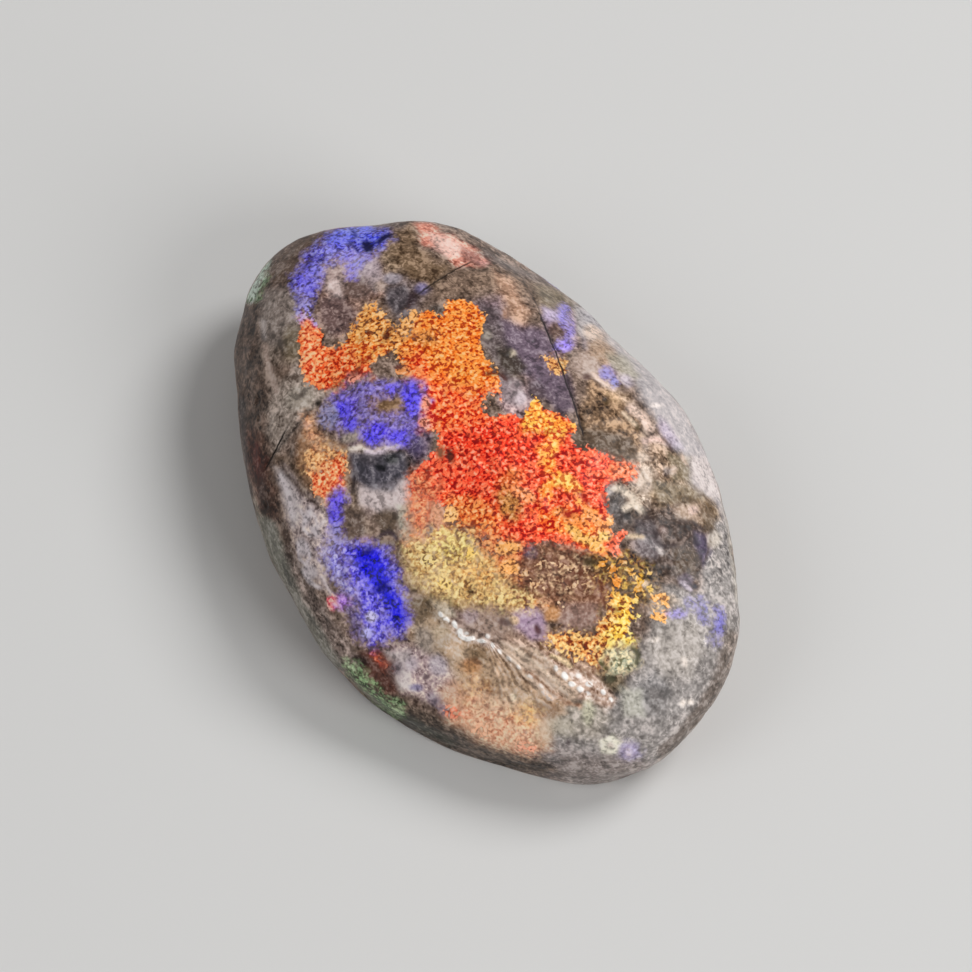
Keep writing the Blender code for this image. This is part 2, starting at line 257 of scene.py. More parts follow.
# Body of the stone, painted in order: name, shape, middle tone, light fleck,
# dark fleck, strength, softness.  Tones are display values 0-255.
POTCH = ((130, 117, 108), (168, 156, 148), (88, 74, 66))
BODY = (
    # crown end and the long -X wall
    ("crown_rim", patch((240, 310), (247, 290), (265, 262), (290, 240), (320, 224), (350, 217), (390, 217), (392, 228),
                        (370, 227), (345, 228), (325, 240), (306, 256), (292, 276), (285, 300), (268, 322), (262, 345), (238, 362)),
     (112, 95, 86), (148, 130, 120), (78, 60, 53), 0.9, 8),
    ("crown_rim_olive", oval(318, 242, 20, 8, -35), (124, 106, 90), (156, 138, 122), (90, 72, 58), 0.8, 6),
    ("wall_upper", patch((234, 300), (262, 298), (262, 345), (267, 392), (262, 440), (240, 440), (232, 380)),
     (98, 84, 75), (130, 114, 104), (64, 50, 43), 0.9, 7),
    ("left_face", patch((264, 300), (292, 292), (300, 320), (301, 372), (285, 400), (272, 440), (264, 420), (270, 390), (262, 350)),
     (142, 136, 130), (178, 173, 168), (102, 94, 86), 0.9, 7),
    ("left_face_olive", oval(288, 344, 13, 17), (124, 112, 90), (150, 138, 116), (94, 82, 62), 0.75, 7),
    ("left_face_brown", oval(284, 372, 16, 9, 20), (122, 105, 93), (150, 134, 122), (92, 76, 64), 0.7, 6),
    ("left_face_light", patch((296, 366), (312, 388), (338, 390), (318, 403), (301, 419), (276, 452), (266, 430), (274, 396)),
     (162, 160, 156), (198, 197, 195), (118, 111, 105), 0.95, 6),
    ("rim_line", stroke(2.0, (261, 322), (264, 345), (268, 368), (275, 388)), (178, 168, 160), (200, 192, 186), (150, 140, 132), 0.7, 3),
    ("iron_skin", patch((242, 424), (262, 432), (268, 462), (277, 500), (281, 520), (262, 520), (250, 482), (241, 450)),
     (112, 80, 66), (142, 110, 96), (66, 38, 28), 0.9, 6),
    ("iron_core", stroke(4.0, (250, 438), (252, 456), (256, 474), (262, 492), (268, 508)), (76, 38, 26), (104, 60, 46), (42, 14, 8), 0.9, 5),
    ("iron_core_low", stroke(2.2, (266, 488), (268, 506)), (62, 30, 20), (86, 50, 38), (38, 14, 8), 0.8, 3),
    ("wall_smooth", patch((250, 510), (264, 516), (276, 530), (290, 566), (304, 598), (322, 628), (340, 652), (330, 664), (300, 624), (276, 584), (258, 546)),
     (134, 138, 129), (162, 166, 157), (104, 106, 99), 0.9, 5),
    ("wall_seam", stroke(1.7, (272, 478), (276, 500), (284, 528), (296, 562), (310, 592), (330, 622), (350, 648)), (78, 64, 56), (108, 92, 82), (48, 36, 30), 0.85, 4),
    ("rim_bright", stroke(0.9, (254, 500), (262, 530), (274, 562), (290, 596), (312, 630)), (188, 184, 174), (210, 206, 198), (146, 140, 132), 0.7, 3),
    ("brown_seam", patch((272, 454), (290, 452), (302, 478), (320, 506), (304, 500), (284, 478)), (126, 112, 98), (156, 142, 128), (94, 80, 66), 0.85, 5),
    ("lilac_worms", patch((283, 464), (300, 490), (326, 506), (333, 540), (322, 560), (331, 592), (318, 582), (300, 556), (288, 520), (280, 484)),
     (188, 184, 194), (238, 236, 248), (126, 118, 124), 0.95, 6),
    ("wall_front_left", patch((286, 546), (300, 556), (314, 588), (330, 614), (346, 640), (364, 660), (392, 702), (370, 706), (338, 676),
                              (314, 646), (296, 620), (284, 590)), (142, 134, 132), (188, 182, 182), (90, 80, 76), 0.92, 6),
    ("wall_foot_grey", stroke(6, (260, 545), (280, 588), (304, 630), (330, 662)), (110, 114, 102), (140, 144, 132), (78, 80, 70), 0.75, 6),
    # inside the blue arc
    ("arc_inside", patch((322, 262), (345, 252), (374, 256), (384, 276), (364, 290), (345, 285), (330, 293), (317, 286)),
     (190, 172, 176), (228, 214, 216), (128, 108, 112), 0.9, 7),
    ("arc_lilac", oval(364, 264, 16, 9, 25), (176, 168, 204), (206, 200, 232), (136, 124, 156), 0.8, 6),
    ("arc_flecked", patch((320, 292), (345, 285), (372, 280), (388, 294), (362, 306), (352, 330), (336, 340), (320, 326)),
     (146, 122, 114), (200, 174, 164), (88, 62, 56), 0.95, 6),
    ("arc_outside", patch((384, 240), (400, 246), (418, 262), (420, 282), (396, 282), (382, 266)), (142, 128, 108), (182, 168, 146), (96, 82, 64), 0.9, 7),
    ("grey_lilac_top", patch((384, 276), (402, 272), (422, 280), (430, 292), (420, 306), (410, 312), (398, 320), (386, 302)),
     (124, 116, 120), (158, 152, 160), (84, 72, 72), 0.9, 6),
    ("blue_bloom_top", oval(424, 288, 7, 5), (150, 144, 188), (174, 168, 210), (116, 106, 146), 0.8, 4),
    ("crown_olive", patch((396, 232), (414, 222), (420, 246), (440, 262), (456, 268), (442, 284), (425, 290), (402, 272), (392, 254)),
     (134, 116, 92), (168, 150, 126), (96, 78, 56), 0.9, 7),
    ("spall_mark", patch((415, 224), (430, 222), (456, 236), (478, 250), (492, 260), (482, 266), (455, 263), (446, 258), (438, 248), (424, 245)),
     (234, 160, 144), (255, 208, 196), (178, 104, 88), 0.97, 3),
    ("spall_brown", oval(474, 256, 9, 5, 30), (160, 122, 110), (196, 156, 142), (110, 78, 68), 0.8, 4),
    ("crown_tan", patch((452, 268), (490, 264), (512, 272), (540, 280), (548, 300), (520, 300), (500, 285), (470, 296), (440, 302), (432, 290)),
     (132, 117, 104), (164, 148, 132), (96, 82, 70), 0.9, 7),
    ("crown_salmon_tan", patch((494, 270), (512, 281), (521, 300), (531, 312), (525, 332), (512, 320), (500, 300)),
     (172, 142, 120), (212, 184, 162), (122, 94, 74), 0.9, 6),
    ("olive_top_right", patch((536, 282), (560, 286), (588, 304), (580, 314), (560, 306), (546, 318), (538, 300)),
     (144, 136, 120), (174, 168, 152), (110, 100, 84), 0.9, 6),
    # lilac field and what lies right of it
    ("lilac_field", patch((466, 302), (500, 296), (512, 326), (540, 326), (553, 345), (562, 366), (567, 402), (550, 406), (536, 392),
                          (520, 370), (500, 346), (484, 322)), (128, 114, 128), (162, 148, 168), (90, 77, 87), 0.95, 7),
    ("field_grey", oval(497, 352, 13, 22, -20), (120, 110, 102), (158, 148, 140), (80, 70, 62), 0.85, 7),
    ("field_shadow", stroke(2.6, (508, 352), (518, 362), (526, 373)), (76, 60, 52), (100, 84, 74), (54, 40, 34), 0.85, 4),
    ("lilac_pink", patch((500, 380), (526, 384), (534, 400), (522, 422), (508, 416), (498, 402)), (172, 154, 168), (218, 204, 216), (106, 86, 96), 0.9, 5),
    ("dark_grey_tongue", patch((538, 394), (566, 388), (582, 425), (602, 452), (586, 457), (570, 442), (556, 416), (544, 411)),
     (110, 98, 92), (150, 138, 132), (74, 60, 56), 0.92, 5),
    ("blue_lilac_top", patch((543, 308), (561, 306), (577, 320), (575, 347), (563, 351), (559, 335), (547, 326)),
     (166, 156, 204), (204, 196, 238), (120, 108, 150), 0.85, 5),
    ("bloom_brown", oval(560, 328, 11, 8), (140, 118, 106), (168, 146, 134), (108, 86, 74), 0.85, 4),
    ("right_face", patch((576, 314), (602, 320), (630, 350), (646, 374), (632, 384), (606, 368), (588, 352), (578, 334)),
     (180, 166, 152), (212, 198, 184), (138, 120, 100), 0.9, 6),
    ("right_tan", oval(604, 352, 15, 9, 25), (170, 144, 118), (198, 172, 146), (132, 106, 80), 0.85, 6),
    ("right_blue_grey", oval(586, 341, 6, 9), (150, 150, 168), (178, 178, 196), (118, 116, 132), 0.75, 4),
    ("right_bloom", oval(609, 373, 9, 8), (152, 142, 198), (182, 174, 226), (112, 102, 150), 0.85, 5),
    ("brown_patch", patch((590, 377), (606, 388), (622, 396), (633, 408), (641, 420), (646, 440), (641, 462), (628, 470), (610, 456),
                          (596, 450), (579, 430), (582, 404)), (140, 118, 92), (192, 168, 136), (86, 66, 42), 0.97, 5),
    ("brown_patch_low", oval(610, 442, 24, 11, 10), (106, 90, 74), (146, 128, 110), (66, 52, 38), 0.8, 6),
    ("brown_patch_gold", oval(619, 396, 11, 6, 25), (202, 178, 138), (230, 208, 170), (150, 122, 80), 0.75, 5),
    ("cream_edge", stroke(3.2, (572, 354), (586, 362), (601, 376), (617, 390), (635, 410), (650, 424), (643, 440), (641, 458)),
     (190, 184, 176), (222, 217, 210), (146, 134, 122), 0.5, 5),
    ("cream_arc", stroke(2.6, (646, 443), (656, 439), (666, 443)), (204, 194, 190), (230, 222, 218), (166, 150, 140), 0.55, 3),
    ("cream_flecks", patch((622, 462), (645, 450), (653, 470), (651, 488), (632, 485)), (182, 170, 154), (230, 220, 206), (120, 104, 88), 0.9, 6),
    ("fibres_upper", patch((648, 440), (672, 450), (692, 470), (702, 490), (690, 502), (664, 492), (654, 470)),
     (152, 134, 112), (208, 192, 172), (88, 68, 50), 0.92, 6),
    ("fibres_olive", patch((654, 482), (690, 490), (720, 500), (722, 522), (700, 527), (690, 506), (660, 506), (648, 496)),
     (146, 130, 102), (192, 178, 150), (92, 74, 50), 0.92, 6),
    ("fibres_pale", patch((604, 481), (640, 484), (651, 500), (641, 513), (620, 506), (606, 500)), (182, 172, 158), (234, 226, 214), (106, 92, 80), 0.95, 6),
    ("fibres_pink", oval(691, 511, 16, 9, 15), (186, 172, 164), (228, 216, 208), (124, 104, 94), 0.85, 6),
    ("slate", patch((604, 493), (618, 499), (622, 514), (640, 512), (657, 530), (645, 532), (625, 526), (609, 511)),
     (110, 100, 94), (160, 150, 144), (60, 50, 46), 0.9, 5),
    ("dark_band", patch((654, 518), (690, 519), (706, 530), (708, 560), (692, 582), (675, 571), (660, 561), (651, 540)),
     (106, 90, 82), (164, 144, 132), (54, 40, 36), 0.95, 6),
    ("slate_lilac", oval(645, 545, 15, 13, 30), (112, 106, 112), (156, 150, 158), (74, 66, 68), 0.8, 6),
    ("violet_lip", stroke(3.5, (690, 530), (702, 541), (705, 556)), (108, 102, 112), (146, 140, 152), (72, 66, 76), 0.35, 7),
    ("squiggle_a", stroke(1.8, (654, 547), (664, 558)), (196, 188, 184), (220, 214, 210), (164, 154, 150), 0.5, 3),
    ("squiggle_b", stroke(1.8, (626, 538), (638, 537), (643, 530)), (196, 180, 168), (222, 208, 198), (164, 144, 132), 0.5, 3),
    ("olive_hollow", patch((619, 546), (640, 555), (667, 571), (661, 587), (640, 592), (627, 577)), (112, 96, 80), (154, 138, 120), (52, 40, 27), 0.92, 6),
    ("olive_dark", patch((627, 584), (650, 590), (656, 606), (640, 602), (629, 593)), (78, 64, 32), (110, 94, 56), (48, 38, 16), 0.9, 4),
    ("right_strip", patch((706, 520), (728, 516), (737, 560), (741, 600), (704, 600), (700, 572), (710, 545)), (144, 153, 160), (186, 195, 203), (100, 103, 108), 0.9, 7),
    # the pale bevel: partly its own pale skin, partly painted light where the bevel faces the lamps; its brightest
    # patch is more painted light
    ("pale_bevel_painted_light", patch((570, 290), (596, 303), (632, 338), (670, 384), (706, 446), (730, 500), (726, 520), (712, 500), (690, 486),
                         (684, 462), (668, 436), (650, 412), (636, 388), (616, 358), (598, 326), (584, 312)), (177, 188, 202), (193, 203, 216), (159, 168, 182), 0.95, 7),
    ("pale_bevel_bright_painted_light", patch((690, 458), (704, 462), (722, 498), (714, 500), (694, 484)), (201, 210, 223), (213, 221, 232), (187, 195, 207), 0.9, 5),
    ("bevel_bloom", oval(668, 432, 6, 14, -25), (192, 186, 216), (212, 208, 234), (166, 158, 190), 0.7, 5),
    # tail
    ("tail_grey", patch((652, 592), (668, 584), (700, 592), (742, 566), (748, 620), (728, 696), (696, 748), (640, 786), (570, 788), (548, 752),
                        (546, 720), (572, 706), (604, 702), (616, 690), (640, 666), (650, 630)), (149, 157, 163), (179, 188, 196), (122, 127, 131), 0.95, 9),
    ("tail_gold", oval(660, 598, 17, 8, 20), (162, 148, 122), (196, 182, 156), (116, 100, 74), 0.7, 6),
    ("tail_dark_rim", stroke(8, (732, 640), (726, 676), (708, 706), (688, 738), (664, 758)), (134, 130, 126), (168, 164, 160), (98, 92, 86), 0.8, 6),
    ("tail_lower", patch((530, 752), (560, 742), (590, 752), (630, 758), (660, 762), (640, 782), (570, 782), (520, 772)),
     (149, 152, 159), (183, 187, 196), (115, 117, 122), 0.8, 8),
    ("tail_pale", patch((556, 704), (600, 700), (612, 716), (600, 738), (570, 738), (552, 722)), (171, 176, 171), (201, 207, 205), (137, 140, 134), 0.75, 8),
    ("tail_white", oval(652, 655, 24, 18), (161, 169, 175), (191, 200, 208), (134, 138, 142), 0.6, 9),
    ("tail_slate", oval(652, 694, 16, 20, 20), (131, 141, 151), (158, 169, 180), (106, 113, 122), 0.7, 8),
    ("tail_green_white", oval(611, 745, 9, 9), (182, 184, 172), (218, 222, 208), (136, 138, 126), 0.42, 9),
    # front bevel: its own tan, peach and lilac tones, lifted lighter in part as painted light on this bevel
    ("front_upper", patch((402, 594), (425, 608), (446, 624), (472, 645), (466, 662), (440, 652), (415, 642), (402, 620)),
     (220, 200, 170), (254, 240, 216), (168, 144, 114), 0.95, 7),
    ("front_lilac", patch((384, 646), (408, 644), (440, 654), (456, 675), (451, 692), (430, 702), (404, 692), (387, 666)),
     (190, 178, 192), (232, 222, 236), (138, 122, 132), 0.95, 7),
    ("front_tan", patch((478, 646), (500, 650), (530, 680), (560, 700), (562, 714), (541, 722), (530, 702), (508, 704), (488, 690), (470, 668)),
     (228, 206, 176), (252, 240, 220), (178, 148, 114), 0.95, 7),
    ("front_olive", oval(484, 654, 16, 6, 20), (156, 132, 96), (190, 166, 128), (112, 90, 60), 0.8, 5),
    ("front_orange_brown", oval(474, 672, 14, 12), (216, 174, 128), (250, 218, 178), (156, 112, 72), 0.75, 7),
    ("foot_ground", patch((440, 690), (470, 682), (510, 698), (548, 716), (552, 750), (520, 754), (480, 740), (448, 720)),
     (228, 186, 156), (250, 222, 196), (192, 148, 118), 0.9, 9),
    ("foot_olive", oval(538, 722, 12, 20), (182, 160, 132), (222, 202, 176), (128, 106, 80), 0.8, 8),
    ("low_wall", patch((344, 674), (366, 666), (394, 692), (414, 706), (446, 722), (470, 738), (508, 751), (542, 759), (566, 774), (520, 776),
                       (480, 764), (440, 744), (400, 728), (370, 700)), (96, 88, 80), (134, 124, 114), (62, 52, 48), 0.95, 5),
    ("low_wall_grey", stroke(5, (404, 722), (444, 738), (486, 758), (530, 768)), (90, 86, 80), (124, 118, 112), (60, 54, 50), 0.7, 5),
    ("red_brown", patch((360, 655), (385, 648), (396, 664), (397, 690), (385, 694), (371, 674)), (114, 76, 64), (152, 100, 84), (66, 40, 32), 0.85, 6),
    # middle left
    ("cream_lip", patch((342, 431), (358, 431), (353, 442), (344, 444)), (196, 182, 164), (216, 204, 188), (160, 144, 124), 0.85, 4),
    ("ring_ground", patch((324, 400), (345, 386), (378, 378), (420, 382), (428, 420), (426, 452), (396, 450), (350, 446), (328, 430)),
     (124, 114, 134), (160, 150, 172), (88, 76, 92), 0.9, 6),
    ("ring_centre", patch((366, 398), (384, 393), (399, 396), (409, 405), (402, 416), (385, 413), (371, 409)),
     (138, 114, 82), (172, 148, 114), (102, 80, 52), 0.95, 5),
    ("ring_foot_violet", oval(420, 445, 9, 18, 15), (104, 96, 132), (136, 128, 164), (72, 62, 92), 0.8, 6),
    ("slate_left", patch((350, 460), (372, 466), (390, 451), (416, 452), (413, 470), (396, 481), (380, 492), (366, 481), (354, 473)),
     (102, 98, 104), (152, 148, 158), (58, 56, 58), 0.92, 5),
    ("wavy_white", stroke(1.5, (352, 448), (362, 447), (372, 451), (380, 449), (398, 446)), (222, 210, 210), (238, 230, 230), (190, 176, 176), 0.9, 2),
    ("grey_olive", patch((344, 484), (360, 489), (366, 520), (376, 541), (360, 548), (345, 531), (341, 508)), (142, 130, 118), (180, 170, 158), (104, 90, 78), 0.9, 6),
    ("chalk", patch((361, 487), (380, 493), (398, 479), (411, 480), (413, 506), (413, 542), (402, 547), (398, 520), (385, 509), (371, 516), (362, 506)),
     (192, 184, 186), (214, 208, 210), (156, 146, 146), 0.95, 5),
    ("chalk_olive", oval(388, 519, 11, 12), (124, 110, 99), (150, 136, 126), (96, 82, 72), 0.85, 5),
    ("chalk_brown", oval(394, 550, 12, 13), (128, 112, 99), (156, 140, 126), (98, 82, 70), 0.85, 6),
    # gold and brown in the middle
    ("pink_tan", patch((414, 498), (440, 504), (446, 530), (430, 546), (414, 536)), (190, 160, 136), (224, 194, 168), (148, 120, 98), 0.9, 6),
    ("gold_ground", patch((402, 546), (425, 530), (445, 530), (470, 545), (495, 560), (502, 585), (522, 600), (520, 616), (495, 613), (470, 610),
                          (445, 600), (425, 590), (408, 575)), (198, 170, 122), (240, 216, 170), (142, 110, 62), 0.95, 8),
    ("gold_cream", oval(440, 565, 15, 9), (214, 204, 180), (236, 228, 206), (178, 162, 132), 0.8, 6),
    ("fibrous_brown", patch((498, 566), (530, 546), (560, 546), (602, 560), (607, 600), (590, 616), (560, 616), (535, 608), (515, 600)),
     (146, 106, 78), (204, 160, 124), (78, 46, 30), 0.97, 7),
    ("violet_brown", oval(526, 550, 10, 8), (132, 104, 104), (164, 134, 136), (84, 54, 54), 0.7, 5),
    ("brown_lilac", oval(574, 620, 15, 7), (166, 148, 144), (192, 176, 172), (130, 110, 106), 0.85, 5),
    ("lilac_spot", patch((509, 612), (530, 604), (541, 618), (536, 636), (519, 633)), (158, 142, 162), (190, 176, 196), (108, 88, 102), 0.9, 5),
    ("lilac_left", oval(471, 620, 14, 8), (168, 150, 150), (200, 184, 184), (124, 102, 100), 0.8, 6),
    ("above_ridge", patch((496, 634), (545, 624), (562, 640), (592, 665), (602, 681), (590, 692), (560, 669), (530, 656)),
     (182, 162, 148), (224, 208, 196), (128, 104, 90), 0.92, 6),
    ("olive_gaps", patch((596, 672), (606, 668), (622, 676), (630, 690), (616, 694), (602, 684)), (112, 104, 80), (150, 142, 116), (66, 58, 38), 0.85, 5),
    ("ridge_brown", stroke(2.4, (528, 672), (548, 687), (566, 702), (580, 707)), (196, 150, 114), (222, 182, 150), (150, 106, 74), 0.75, 3),
    # ridge crests: partly pale stone, partly painted sheen; their near-white tones stand in for the light the crests
    # catch
    ("ridge_crest_sheen", stroke(3.6, (486, 640), (498, 650), (512, 661), (526, 673), (540, 685), (554, 695)),
     (218, 208, 204), (250, 247, 246), (158, 140, 128), 0.9, 4),
    ("ridge_crest_b_sheen", patch((540, 650), (556, 654), (576, 664), (598, 680), (617, 699), (606, 708), (588, 703), (568, 693), (556, 681), (546, 665)),
     (202, 184, 172), (246, 238, 232), (146, 120, 100), 0.85, 5),
    ("ridge_start_sheen", stroke(3.2, (440, 614), (452, 625), (466, 636), (480, 641)), (218, 208, 200), (250, 247, 242), (158, 142, 128), 0.8, 4),
)

